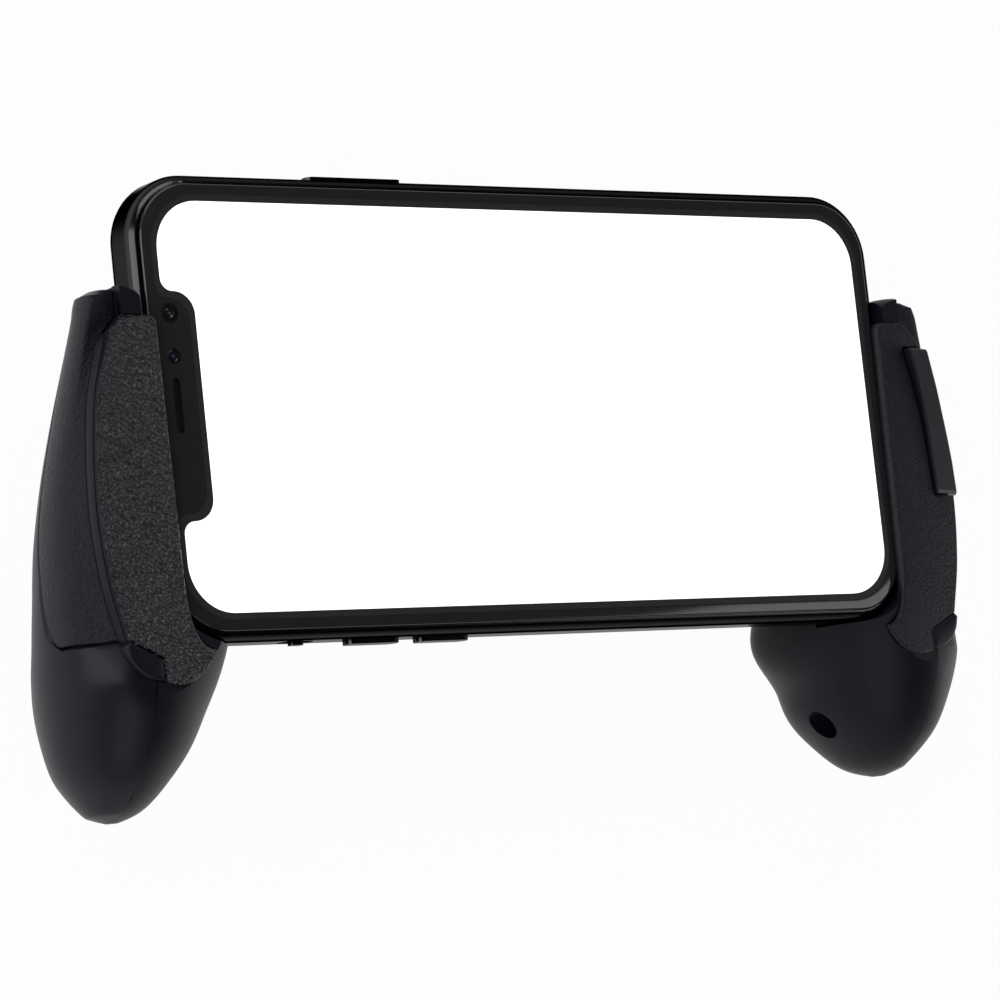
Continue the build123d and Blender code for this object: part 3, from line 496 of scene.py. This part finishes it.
# raised wing, which the right plate makes room for: slope in degrees, rim as a share of the width
wing = {
    "gap": 0.3, "width": 6.4, "high": 2.6, "slope": 15.0, "edge": 0.25, "low": -0.9, "skinGap": 0.3,
    "rim": 0.06, "thin": 0.4,
}
wingEdge = smoothLine([jawPlace(0.33, 0.08), jawPlace(0.47, 0.20), jawPlace(0.55, 0.30),
                       jawPlace(0.60, 0.42), jawPlace(0.63, 0.52)], 60)


def evenly(line, spacing):
    # the same closed outline with points at even steps along it
    line = np.vstack([line, line[:1]])
    steps = np.hypot(*np.diff(line, axis=0).T)
    walked = np.concatenate([[0], np.cumsum(steps)])
    places = np.linspace(0, walked[-1], int(walked[-1] / spacing) + 1)[:-1]
    return np.stack([np.interp(places, walked, line[:, k]) for k in (0, 1)], axis=-1)


def slab(outline, low, high, edge):
    # straight wall, then a rounded edge whose rings move inward by r (1 - cos a) and up by r sin a
    ahead, behind = np.roll(outline, -1, axis=0), np.roll(outline, 1, axis=0)
    inward = np.stack([-(ahead - behind)[:, 1], (ahead - behind)[:, 0]], axis=-1)
    area = np.sum(outline[:, 0] * ahead[:, 1] - ahead[:, 0] * outline[:, 1])
    inward = inward / np.linalg.norm(inward, axis=1)[:, None] * np.sign(area)
    edge = np.broadcast_to(edge, len(outline))
    rings = [flatLoop(outline, low)]
    for angle in np.radians((0, 22, 45, 68, 90)):
        moved = outline + inward * (edge * (1 - np.cos(angle)))[:, None]
        rings.append(np.column_stack([moved, high - edge * (1 - np.sin(angle))]))
    return np.stack(rings)


def pierced(outline, holes, low, high, edge):
    # a slab and its holes' straight walls, with the flat bottom and top filled round the holes
    walls = [slab(outline, low, high, edge)]
    walls += [np.stack([flatLoop(hole, height) for height in (high, low)]) for hole in holes]
    points, faces = joined(*[openGrid(rings) for rings in walls])
    mesh = bpy.data.meshes.new("filledSlab")
    mesh.from_pydata(points.tolist(), [], faces)
    shape = bmesh.new()
    shape.from_mesh(mesh)
    for height in (high, low):
        rims = [rim for rim in shape.edges
                if rim.is_boundary and abs(rim.verts[0].co.z - height) < meshing["merge"]]
        bmesh.ops.triangle_fill(shape, edges=rims, use_beauty=True)
    shape.to_mesh(mesh)
    shape.free()
    faces += [list(face.vertices) for face in mesh.polygons[len(faces):]]
    bpy.data.meshes.remove(mesh)
    return points, faces


def plateOutline(withWing):
    # closed outline of a plate: outer side, lug seam, the tongue's two bows, then up the inner side
    side = plateSide
    if withWing:
        gapEdge = wingEdge - (wing["gap"], 0)
        above, below = gapEdge[0, 1] + wing["gap"], gapEdge[-1, 1] - wing["gap"]
        side = np.vstack([
            side[side[:, 1] > above], (lineAt(side, above), above), (gapEdge[0, 0], above), gapEdge,
            (gapEdge[-1, 0], below), (lineAt(side, below), below), side[side[:, 1] < below],
        ])
    corner = jaw["corner"]
    return evenly(np.vstack([
        side, seamBend, seamEnd,
        bowed(seamEnd, jawPlace(-0.24, 0.99), tongueSide)[1:],
        bowed(tongueSide, jawPlace(-0.33, 0.86), innerStart)[1:],
        innerEnd,
        bowed(innerEnd, (innerEnd[0] + 0.29 * corner, innerEnd[1] + 0.71 * corner),
              (innerEnd[0] + corner, jaw["top"]), 8)[1:],
    ]), jaw["spacing"])


for name, side in sides.items():
    outline = plateOutline(name == "right")
    # the left plate has a wide chamfer at its top, the right one a rolled inner edge
    edge = np.full(len(outline), jaw["edge"])
    if name == "left":
        nearTop = (outline[:, 1] - jaw["top"] + jaw["chamferLength"]) / jaw["chamferLength"]
        edge = edge + (jaw["chamfer"] - jaw["edge"]) * np.clip(nearTop, 0, 1)
    else:
        inner = (outline[:, 0] < phoneEnd - 1) & (outline[:, 1] > innerStart[1] - jaw["rolledPast"])
        edge = edge + (jaw["rolledEdge"] - jaw["edge"]) * inner
        edge = (np.roll(edge, 1) + edge + np.roll(edge, -1)) / 3
    points, faces = pierced(outline, [], jaw["low"], jaw["high"], edge)
    walls = len(outline)
    grain = "leatherGrainAbs" if name == "left" else "sparkGrainAbs"
    makePiece(
        name + "JawPlate", toFrame(points, side), faces, name + "_half", name + "_jaw_plate",
        [finish[grain], finish["satinMouldedAbs"]],
        faceSlots=[1] * walls + [0] * (len(faces) - walls),
    )
print("stage: jaw plates made")

# side panel on the outside of each handle, and the hollow that it makes beside the plate: foot is
# the hollow's height at the plate, bank its outer slope, and soft, crest and crown are radii
panel = {
    "thickness": 1.15, "leastShare": 0.9, "recess": 1.35, "groove": 0.26, "top": 18.5,
    "bottom": 34.9, "edge": 0.34, "span": 14.0, "foot": -0.55, "bank": 0.75, "soft": 1.7,
    "crest": 2.2, "crown": 1.6, "fade": 6.0, "frontGap": 0.12, "topGap": 0.12,
}
# rear edge of the panel: height, as a share of the panel's, then how far behind the glass, as a
# share of half the bulb's depth
rearEdgeShares = [
    (1.00, -0.42), (0.84, -0.42), (0.72, -0.45), (0.62, -0.48), (0.40, -0.58), (0.26, -0.60),
    (0.13, -0.58), (0.06, -0.57), (0.02, -0.53), (0.00, -0.44),
]
rearEdge = smoothLine(
    np.array(rearEdgeShares) * (panel["top"] + panel["bottom"], handle["bulbDepth"] / 2)
    - (panel["bottom"], 0), 240,
)
# deepest line of the hollow beside the plate: shares of the plate's reach and length, and how far
# behind the glass as a share of half the bulb's depth
hollowShares = [
    (0.66, -0.08, 0.03), (0.76, -0.02, 0.01), (0.87, 0.04, -0.03), (1.02, 0.15, -0.08),
    (1.18, 0.28, -0.13), (1.30, 0.42, -0.19), (1.37, 0.55, -0.22), (1.39, 0.70, -0.24),
    (1.30, 0.84, -0.27), (1.20, 0.93, -0.30), (1.16, 1.10, -0.34),
]
hollowLine = smoothLine([
    (*jawPlace(out, down), depth * handle["bulbDepth"] / 2) for out, down, depth in hollowShares
], 200)
# outer edge of what lies under the plate and the lug
lidEdge = np.vstack([
    [(handle["seam"] + 0.05, 40.0), (handle["seam"] + 0.05, jaw["top"] + 0.05)], plateSide,
    smoothLine([jawPlace(0.80, 0.89), jawPlace(0.63, 0.96),
                (handle["seam"] + 0.03, jawPlace(0, 0.985)[1])], 12),
    [(handle["seam"] + 0.03, -99.0)],
])


def blendLow(a, b, radius):
    # the lower of two heights, rounded where they meet: mix(b, a, h) - r h (1 - h), with
    # h = 1/2 + (b - a) / 2r
    h = np.clip(0.5 + (b - a) / (2 * radius), 0, 1)
    return b + (a - b) * h - radius * h * (1 - h)


def hollowHeight(up, out):
    # two slopes that meet, rounded, in the deepest line: one from the plate's foot, one to the skin
    foot = lineAt(plateSide, up)
    deepOut, deep = lineAt(hollowLine, up), lineAt(hollowLine, up, 2)
    width = np.maximum(deepOut - foot, 0.5)
    rising = panel["foot"] + (deep - panel["foot"]) * (out - foot) / width
    leaving = deep + (out - deepOut) * panel["bank"]
    return -blendLow(-rising, -leaving, panel["soft"])


def frontHeight(up, out, skin):
    # the horn's skin, cut flat in front and hollowed beside the plate, fading out below the panel
    flat = blendLow(skin, handle["front"], handle["frontSoft"])
    hollowed = blendLow(flat, hollowHeight(up, out), panel["crest"])
    fade = np.clip((up + panel["bottom"] + panel["fade"]) / panel["fade"], 0, 1)
    return np.where(up < -panel["bottom"], flat + (hollowed - flat) * fade, hollowed)


def spread(start, end, shares):
    # points between two columns of values, at these shares of the way
    return start[:, None] + (end - start)[:, None] * np.asarray(shares)[None, :]


def roundedCorner(before, corner, after, radius, count=4):
    # parabola from radius before the corner to radius after it, with the corner as its pull
    towards = [point - corner for point in (before, after)]
    ends = []
    for way in towards:
        length = np.linalg.norm(way, axis=-1, keepdims=True)
        ends.append(corner + way / np.maximum(length, 1e-6) * np.minimum(radius, 0.45 * length))
    start, pull, end = (point[:, None] for point in (ends[0], corner, ends[1]))
    t = np.linspace(0, 1, count)[None, :, None]
    return (1 - t) ** 2 * start + 2 * t * (1 - t) * pull + t ** 2 * end


def endShares(span, edge):
    # shares of a span with close points within one edge radius of both ends
    close = np.array([0, 0.04, 0.16, 0.36, 0.65, 1.0]) * edge / span
    return np.concatenate([close, np.linspace(close[-1], 1 - close[-1], 62)[1:-1], 1 - close[::-1]])


def edgeDrop(distance, radius):
    # how far a quarter-round edge lies below the surface: r - sqrt(r^2 - (r - d)^2)
    return radius - np.sqrt(np.maximum(radius ** 2 - np.maximum(radius - distance, 0) ** 2, 0))


# outer shell: a band round the outer half of the horn; gaps and heights in mm, then counts of rows
shell = {
    "topGap": 0.9, "ledge": 0.35, "tipCap": 1.2, "lidDrop": 0.06, "innerTop": -4.5, "turnGap": 0.02,
    "panelRows": 96, "bulbRows": 44, "capRows": 8, "lidSteps": 8, "skinSteps": 30,
}


def outerShell():
    # round each row: under the plate, then the outer skin, which is let in for the panel, then the
    # rear seam face, the inner skin and the front seam face
    bottom, edge = panel["bottom"], panel["edge"]
    capTop = handle["top"] - handle["length"] + shell["tipCap"]
    inside = np.linspace(handle["top"] - shell["topGap"], -bottom, shell["panelRows"])
    up = np.concatenate([
        inside, -bottom - np.array([0, 0.08, 0.35]),
        np.linspace(-bottom - 0.9, capTop, shell["bulbRows"]),
        capTop - shell["tipCap"] * np.sin(np.linspace(0.1, 1, shell["capRows"]) * np.pi / 2),
    ])
    rows = up[:, None]
    inPanel = (np.arange(len(up)) < len(inside)) * 1.0
    beyond = np.where(inPanel > 0, 9, -bottom - up)
    letIn = inPanel * panel["recess"] + edge * np.clip(1 - beyond / shell["ledge"], 0, 1) ** 2
    letIn = letIn[:, None]
    seam = handle["seam"] + handle["seamGap"]
    front, back = turnsAtOut(up, seam)
    lidTurn = np.minimum(turnsAtOut(up, lineAt(lidEdge, up))[0], front)
    edgeTurn = np.clip(turnAtDepth(up, lineAt(rearEdge, up, 1, 0)), back + shell["turnGap"],
                       lidTurn - shell["turnGap"])
    lid = skinPoint(rows, spread(front, lidTurn, np.linspace(0, 1, shell["lidSteps"])))
    lid[..., 2] = np.minimum(lid[..., 2], jaw["low"] - shell["lidDrop"])
    sideTurn = spread(lidTurn, edgeTurn, np.linspace(0, 1, shell["skinSteps"]))
    side = skinPoint(rows, sideTurn)
    side[..., 2] = frontHeight(rows, side[..., 0], side[..., 2])
    letSide = skinPoint(rows, sideTurn, letIn)
    letSide[..., 2] = np.minimum(letSide[..., 2], side[..., 2] - letIn)
    side = np.where(letIn[..., None] > 0, letSide, side)
    rearShares = np.concatenate([[0, 0.006, 0.018], np.linspace(0.05, 1, shell["skinSteps"])])
    rearLet = inPanel[:, None] * edge * np.clip(1 - rearShares / 0.02, 0, 1)[None, :] ** 2
    rearLet = rearLet + edgeDrop(handle["top"] - panel["topGap"] - up, panel["crown"])[:, None]
    rear = skinPoint(rows, spread(edgeTurn, back, rearShares), rearLet)
    outer = np.concatenate([lid, side, rear], axis=1)
    innerFront, innerBack = turnsAtOut(up, seam, handle["wall"])
    innerTurn = spread(innerBack, innerFront, np.linspace(0, 1, shell["skinSteps"]))
    inner = skinPoint(rows, innerTurn, handle["wall"])
    inner[..., 2] = np.minimum(inner[..., 2], shell["innerTop"])
    for band in (outer, inner):
        band[..., 0] = np.maximum(band[..., 0], seam)
    frontCorner = roundedCorner(inner[:, -1], outer[:, 0], outer[:, 1], handle["edge"])
    rearCorner = roundedCorner(outer[:, -2], outer[:, -1], inner[:, 0], handle["edge"])
    return np.concatenate([frontCorner, outer[:, 1:-1], rearCorner, inner], axis=1)


lugOutline = evenly(np.vstack([
    seamStart, seamBend, seamEnd, bowed(seamEnd, jawPlace(0.63, 0.96), jawPlace(0.80, 0.89))[1:],
]), jaw["lugSpacing"])
lugMiddle = lugOutline.mean(axis=0)
lugOutline = lugMiddle + (lugOutline - lugMiddle) * jaw["lugShrink"]
for name, side in sides.items():
    lug = pierced(lugOutline, [], jaw["lugLow"], jaw["high"], jaw["lugEdge"])
    points, faces = joined(loopGrid(outerShell()), lug)
    makePiece(
        name + "OuterShell", toFrame(points, side), faces, name + "_half", name + "_outer_shell",
        [finish["satinMouldedAbs"]],
    )
print("stage: outer shells made")


def sidePanel():
    # a sheet on the horn's skin between the plate and the rear edge, rounded on all its edges, with
    # its own thickness under it
    low, high = -panel["bottom"] + panel["groove"], handle["top"] - panel["topGap"]
    up = high + (low - high) * endShares(high - low, panel["edge"])
    front = turnsAtOut(up, lineAt(lidEdge, up) + panel["frontGap"])[0]
    rear = turnAtDepth(up, lineAt(rearEdge, up, 1, 0) + panel["groove"])
    shares = endShares(panel["span"], panel["edge"])
    turn = spread(front, rear, shares)
    rows = up[:, None]
    endDrop = (edgeDrop(up - low, panel["edge"]) + edgeDrop(high - up, panel["crown"]))[:, None]
    rearDrop = edgeDrop((1 - shares) * panel["span"], panel["edge"])[None, :]
    frontDrop = edgeDrop(shares * panel["span"], panel["edge"] / 2)[None, :]
    top = skinPoint(rows, turn, endDrop + rearDrop)
    inFront = top[..., 2] > handle["front"]
    top[..., 2] = frontHeight(rows, top[..., 0], top[..., 2]) - endDrop * inFront - frontDrop
    under = skinPoint(rows, turn, panel["thickness"])
    lowest = top[..., 2] - panel["thickness"] * panel["leastShare"]
    under[..., 2] = np.minimum(under[..., 2], lowest)
    return np.concatenate([top, under[:, ::-1]], axis=1)


for name, side in sides.items():
    points, faces = loopGrid(sidePanel())
    makePiece(
        name + "SidePanel", toFrame(points, side), faces, name + "_half", name + "_side_panel",
        [finish["sparkGrainAbs"]],
    )

# plain wall that slopes away from the left plate's outer edge: start and taper are shares of the
# plate's length and of the wall's
rim = {
    "width": 0.6, "high": 0.6, "low": -0.5, "depth": 1.3, "edge": 0.12, "tuck": 0.3, "start": 0.045,
    "taper": 0.04,
}
# one section drawn along the plate's outer edge: offset = section x taper, thinner at its two ends
wallLine = plateSide[plateSide[:, 1] < jawPlace(0, rim["start"])[1]]
along = np.gradient(wallLine, axis=0)
along /= np.linalg.norm(along, axis=1, keepdims=True)
away = np.stack([-along[:, 1], along[:, 0]], axis=-1)
ends = np.linspace(0, 1, len(wallLine))
taper = np.sqrt(np.clip(np.minimum(ends, 1 - ends) / rim["taper"], 0.02, 1))[:, None]
section = np.array([
    (-rim["tuck"], rim["high"] - 0.1), (0.02, rim["high"]), (rim["edge"], rim["high"] - 0.02),
    (rim["width"] - rim["edge"], rim["low"] + rim["edge"]), (rim["width"], rim["low"]),
    (rim["width"], rim["low"] - rim["depth"]), (-rim["tuck"], rim["low"] - rim["depth"]),
])
outward = section[None, :, 0] * np.where(section[None, :, 0] > 0, taper, 1)
wall = np.concatenate([
    wallLine[:, None] + away[:, None] * outward[..., None],
    np.broadcast_to(section[None, :, 1:], (*outward.shape, 1)),
], axis=-1)
points, faces = loopGrid(wall)
makePiece(
    "leftPlateWall", toFrame(points, -1), faces, "left_half", "left_jaw_plate",
    [finish["satinMouldedAbs"]],
)

# the raised wing beside the right plate: a plane that falls outward, or the horn's skin where lower
wingUp = wingEdge[:, 1]
crest = jawPlace(0.55, 0.30)[0]
skinOut = skinPoint(wingUp, turnAtDepth(wingUp, wing["low"] + wing["skinGap"]))[:, 0]
outmost = np.minimum(wingEdge[:, 0] + wing["width"], skinOut)
outShares = np.concatenate([
    np.linspace(0, 1, 5)[:-1] ** 2 * wing["rim"], np.linspace(wing["rim"], 1, 26),
])
wingOut = spread(wingEdge[:, 0], outmost, outShares)
skinFront = skinPoint(wingUp[:, None], turnsAtOut(wingUp[:, None], wingOut)[0])[..., 2]
plane = wing["high"] - np.tan(np.radians(wing["slope"])) * (wingOut - crest)
fromEnd = np.minimum(wingUp.max() - wingUp, wingUp - wingUp.min())[:, None]
ridge = np.minimum(plane, skinFront) - edgeDrop(wingOut - wingEdge[:, :1], wing["edge"])
ridge = ridge - edgeDrop(fromEnd, wing["edge"])
crown = np.stack(np.broadcast_arrays(wingOut, wingUp[:, None], ridge), axis=-1)
base = crown[:, [-1, 0]]
base[..., 2] = np.minimum(base[..., 2] - wing["thin"], wing["low"])
points, faces = loopGrid(np.concatenate([crown, base], axis=1))
makePiece(
    "rightWing", toFrame(points), faces, "right_half", "right_side_panel",
    [finish["satinMouldedAbs"]],
)
print("stage: side panels, wall and wing made")

# front of the phone: printed glass border round the lit display
phone = {
    "inset": 1.55, "corner": 10.5, "edge": 0.35, "thickness": 0.9, "glassSpacing": 0.6,
    "displayLength": 135.1, "displayWidth": 62.4, "displayCorner": 7.6, "notchWidth": 34.7,
    "notchDepth": 5.6, "notchCorner": 3.5, "notchShoulder": 2.0, "displayBack": 2.05, "rim": 0.04,
    "displayGap": 0.03, "displaySpacing": 0.5, "displayEdge": 0.02, "band": 1.0, "bandDrop": 0.03,
    "slotGap": 0.05,
}


def cornerArc(middle, radius, start, count=14, sweep=90):
    # points round an arc: middle + radius (cos, sin), angles in degrees
    angle = np.radians(np.linspace(start, start + sweep, count))
    return np.asarray(middle) + radius * np.stack([np.cos(angle), np.sin(angle)], axis=-1)


def circle(middle, radius):
    # an arc all the way round, without its doubled end
    return cornerArc(middle, radius, 0, eyeSteps + 1, 360)[:-1]


def roundedBox(halfLength, halfWidth, radius):
    # four corner arcs, joined by the straight sides between them
    corners = [(1, 1, 0), (-1, 1, 90), (-1, -1, 180), (1, -1, 270)]
    return np.vstack([
        cornerArc((sx * (halfLength - radius), sy * (halfWidth - radius)), radius, start)
        for sx, sy, start in corners
    ])


def displayOutline(shrink):
    # rounded box whose left end has the notch: concave shoulders, then the notch's rounded corners
    halfLength, halfWidth = phone["displayLength"] / 2 - shrink, phone["displayWidth"] / 2 - shrink
    radius, notch = phone["displayCorner"] - shrink, phone["notchWidth"] / 2 + shrink
    inner, shoulder = phone["notchCorner"], phone["notchShoulder"]
    edge, depth = -halfLength, -halfLength + phone["notchDepth"]
    return np.vstack([
        cornerArc((halfLength - radius, halfWidth - radius), radius, 0),
        cornerArc((-halfLength + radius, halfWidth - radius), radius, 90),
        cornerArc((edge + shoulder, notch + shoulder), shoulder, 180),
        cornerArc((depth - inner, notch - inner), inner, 90, sweep=-90),
        cornerArc((depth - inner, -notch + inner), inner, 0, sweep=-90),
        cornerArc((edge + shoulder, -notch - shoulder), shoulder, 90),
        cornerArc((-halfLength + radius, -halfWidth + radius), radius, 180),
        cornerArc((halfLength - radius, -halfWidth + radius), radius, 270),
    ])


litOutline = displayOutline(0)
points, faces = pierced(
    evenly(displayOutline(phone["displayGap"]), phone["displaySpacing"]), [], -phone["displayBack"],
    -phone["rim"], phone["displayEdge"],
)
makePiece(
    "litDisplayPanel", toFrame(points), faces, "phone", "display", [litDisplay],
)

# front camera and sensor: radius in mm, lens as a share of it
eyes = {
    "frontCamera": dict(node="front_camera", radius=1.48, lens=0.50),
    "frontSensor": dict(node="front_sensor", radius=1.16, lens=0.72),
}
eyeSteps = 48
eyeGap = 0.02
eyeHoles = []
for name, eye in eyes.items():
    low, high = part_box(eye["node"])
    middle = ((low.x + high.x) / 2 / mm, (low.y + high.y) / 2 / mm - phoneMiddle)
    eyeHoles.append(circle(middle, eye["radius"] + eyeGap))
    # rings from the barrel's rim inward, as share of the radius, height and material: the black
    # barrel, then the coated lens with its small inner lens
    lens = eye["lens"]
    profile = [
        (1.0, -0.95, 0), (1.0, -0.06, 0), (lens + 0.04, -0.10, 0), (lens, -0.20, 0),
        (lens * 0.9, -0.16, 1), (lens * 0.3, -0.12, 1), (lens * 0.26, -0.14, 2), (0.01, -0.12, 2),
    ]
    rings = [flatLoop(circle(middle, share * eye["radius"]), depth)
             for share, depth, slot in profile]
    points, faces = loopGrid(np.stack(rings))
    ringSlots = np.repeat([slot for share, depth, slot in profile[1:]], eyeSteps).tolist()
    makePiece(
        name, toFrame(points), faces, "phone", eye["node"],
        [finish["blackPaintedBarrel"], finish["coatedLensGlass"], finish["innerLensGlass"]],
        faceSlots=ringSlots + [0, 2],
    )

# front glass, with openings for the display's band, the two eyes and the earpiece
earLow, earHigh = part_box("earpiece_mesh")
earMiddle = (earLow.x + earHigh.x) / 2 / mm
earRadius = (earHigh.x - earLow.x) / 2 / mm + phone["slotGap"]
earReach = (earHigh.y - earLow.y) / 2 / mm + phone["slotGap"] - earRadius
earSlot = np.vstack([cornerArc((earMiddle, earReach), earRadius, 0, 16, 180),
                     cornerArc((earMiddle, -earReach), earRadius, 180, 16, 180)])
glassOutline = evenly(roundedBox(
    phoneEnd - phone["inset"], phoneHalfWidth - phone["inset"], phone["corner"] - phone["inset"],
), phone["glassSpacing"])
bandOutline = displayOutline(-phone["band"])
glass = pierced(
    glassOutline, [bandOutline, *eyeHoles, earSlot], -phone["thickness"], 0.0, phone["edge"],
)
# the printed band round the lit part lies a hair lower and is lighter than the rest
band = openGrid(np.stack([
    flatLoop(outline, height) for outline, height in (
        (bandOutline, 0.0), (litOutline, -phone["bandDrop"]), (litOutline, -phone["thickness"]),
    )
]))
points, faces = joined(glass, band)
makePiece(
    "printedFrontGlass", toFrame(points), faces, "phone", "front_glass",
    [finish["polishedBlackGlass"], finish["printedBorderGlass"]],
    faceSlots=[0] * len(glass[1]) + [1] * len(band[1]),
)
print("stage: phone front made")

# the photograph's camera, worked out from the corners of the display
photoView = {
    "place": (-433.42, -104.60, 575.40),  # mm from the middle of the glass
    "right": (0.8084, -0.1057, 0.5791),
    "up": (0.0123, 0.9866, 0.1629),
    "lens": 167.31,
    "sensor": 36.0,
    "clip": (0.01, 50.0),  # m
}
cameraData = bpy.data.cameras.new("photoCamera")
cameraData.lens = photoView["lens"]
cameraData.sensor_width = photoView["sensor"]
cameraData.clip_start, cameraData.clip_end = photoView["clip"]
camera = bpy.data.objects.new("photoCamera", cameraData)
bpy.context.scene.collection.objects.link(camera)
axisRight = Vector(photoView["right"]).normalized()
axisBack = axisRight.cross(Vector(photoView["up"])).normalized()
axisUp = axisBack.cross(axisRight).normalized()
turn = Matrix((axisRight, axisUp, axisBack)).transposed().to_4x4()
camera.matrix_world = Matrix.Translation(Vector(toFrame(photoView["place"]).tolist())) @ turn
bpy.context.scene.camera = camera

# floor and room: sizes in m, horizon and ceiling as heights in the world's unit sphere
studio = {
    "floorSize": 6.0, "floorGap": 0.0002, "floorColour": "#f4f4f4", "seenColour": "#ffffff",
    "seenWhite": 0.97, "horizon": "#ffffff", "ceiling": "#2c2e31", "wallTop": 0.10,
    "ceilingFrom": 0.55, "roomLevel": 0.42,
}
floorMesh = bpy.data.meshes.new("paleFloor")
reach = studio["floorSize"]
floorCorners = [(-reach, -reach, 0), (reach, -reach, 0), (reach, reach, 0), (-reach, reach, 0)]
floorMesh.from_pydata(floorCorners, [], [(0, 1, 2, 3)])
floor = bpy.data.objects.new("paleFloor", floorMesh)
floor.location.z = cadBox[0][2] - studio["floorGap"]
bpy.context.scene.collection.objects.link(floor)
# matte paper: a diffuse floor for the object's light and shadow, nearly all white where it is seen
paper = bpy.data.materials.new("palePaper")
paper.use_nodes = True
paperTree = paper.node_tree
paperTree.nodes.clear()
rays = addNode(paperTree, "ShaderNodeLightPath").outputs
seen = addNode(
    paperTree, "ShaderNodeMath", {"operation": "MAXIMUM"},
    {0: rays["Is Camera Ray"], 1: rays["Is Glossy Ray"]},
).outputs["Value"]
seen = addNode(
    paperTree, "ShaderNodeMath", {"operation": "MAXIMUM"},
    {0: seen, 1: rays["Is Transmission Ray"]},
).outputs["Value"]
share = addNode(
    paperTree, "ShaderNodeMath", {"operation": "MULTIPLY"}, {0: seen, 1: studio["seenWhite"]},
).outputs["Value"]
paperBody = addNode(
    paperTree, "ShaderNodeBsdfDiffuse", {}, {"Color": hexToLinear(studio["floorColour"])},
)
paperWhite = addNode(
    paperTree, "ShaderNodeEmission", {},
    {"Color": hexToLinear(studio["seenColour"]), "Strength": 1.0},
)
paperMix = addNode(
    paperTree, "ShaderNodeMixShader", {},
    {0: share, 1: paperBody.outputs["BSDF"], 2: paperWhite.outputs["Emission"]},
)
addNode(paperTree, "ShaderNodeOutputMaterial", {}, {"Surface": paperMix.outputs["Shader"]})
floorMesh.materials.append(paper)

world = bpy.data.worlds.new("studioRoom")
bpy.context.scene.world = world
world.use_nodes = True
worldTree = world.node_tree
worldTree.nodes.clear()
direction = addNode(worldTree, "ShaderNodeTexCoord").outputs["Generated"]
heightAbove = addNode(worldTree, "ShaderNodeSeparateXYZ", {}, {0: direction}).outputs["Z"]
# white walls up to about 6 degrees above the floor, then a slow change to a dim ceiling
rise = addNode(
    worldTree, "ShaderNodeMapRange", {"interpolation_type": "SMOOTHSTEP"},
    {"Value": heightAbove, "From Min": studio["wallTop"], "From Max": studio["ceilingFrom"]},
).outputs["Result"]
roomColour = addNode(
    worldTree, "ShaderNodeMix", {"data_type": "RGBA"},
    {"Factor": rise, 6: hexToLinear(studio["horizon"]), 7: hexToLinear(studio["ceiling"])},
).outputs[2]
room = addNode(
    worldTree, "ShaderNodeBackground", {}, {"Color": roomColour, "Strength": studio["roomLevel"]},
)
addNode(worldTree, "ShaderNodeOutputWorld", {}, {"Surface": room.outputs["Background"]})

# place in mm from the glass, size in mm, power in watts; each lamp faces the phone
lamps = {
    "leftSoftbox": dict(place=(-620, 120, 330), size=(420, 700), power=2.6),
    "topSoftbox": dict(place=(-40, 640, 520), size=(700, 360), power=2.2),
    "rightSoftbox": dict(place=(560, -140, 260), size=(260, 620), power=1.0),
    "frontFill": dict(place=(-240, -620, 420), size=(600, 300), power=1.0),
}
for name, lamp in lamps.items():
    lampData = bpy.data.lights.new(name, "AREA")
    lampData.shape = "RECTANGLE"
    lampData.size, lampData.size_y = (value * mm for value in lamp["size"])
    lampData.energy = lamp["power"]
    lampObject = bpy.data.objects.new(name, lampData)
    lampObject.location = toFrame(lamp["place"]).tolist()
    aim = Vector(toFrame((0, 0, 0)).tolist()) - lampObject.location
    lampObject.rotation_euler = aim.to_track_quat("-Z", "Y").to_euler()
    bpy.context.scene.collection.objects.link(lampObject)
bpy.context.scene.view_settings.view_transform = "Standard"
print("stage: camera and studio set")

bpy.context.view_layer.update()
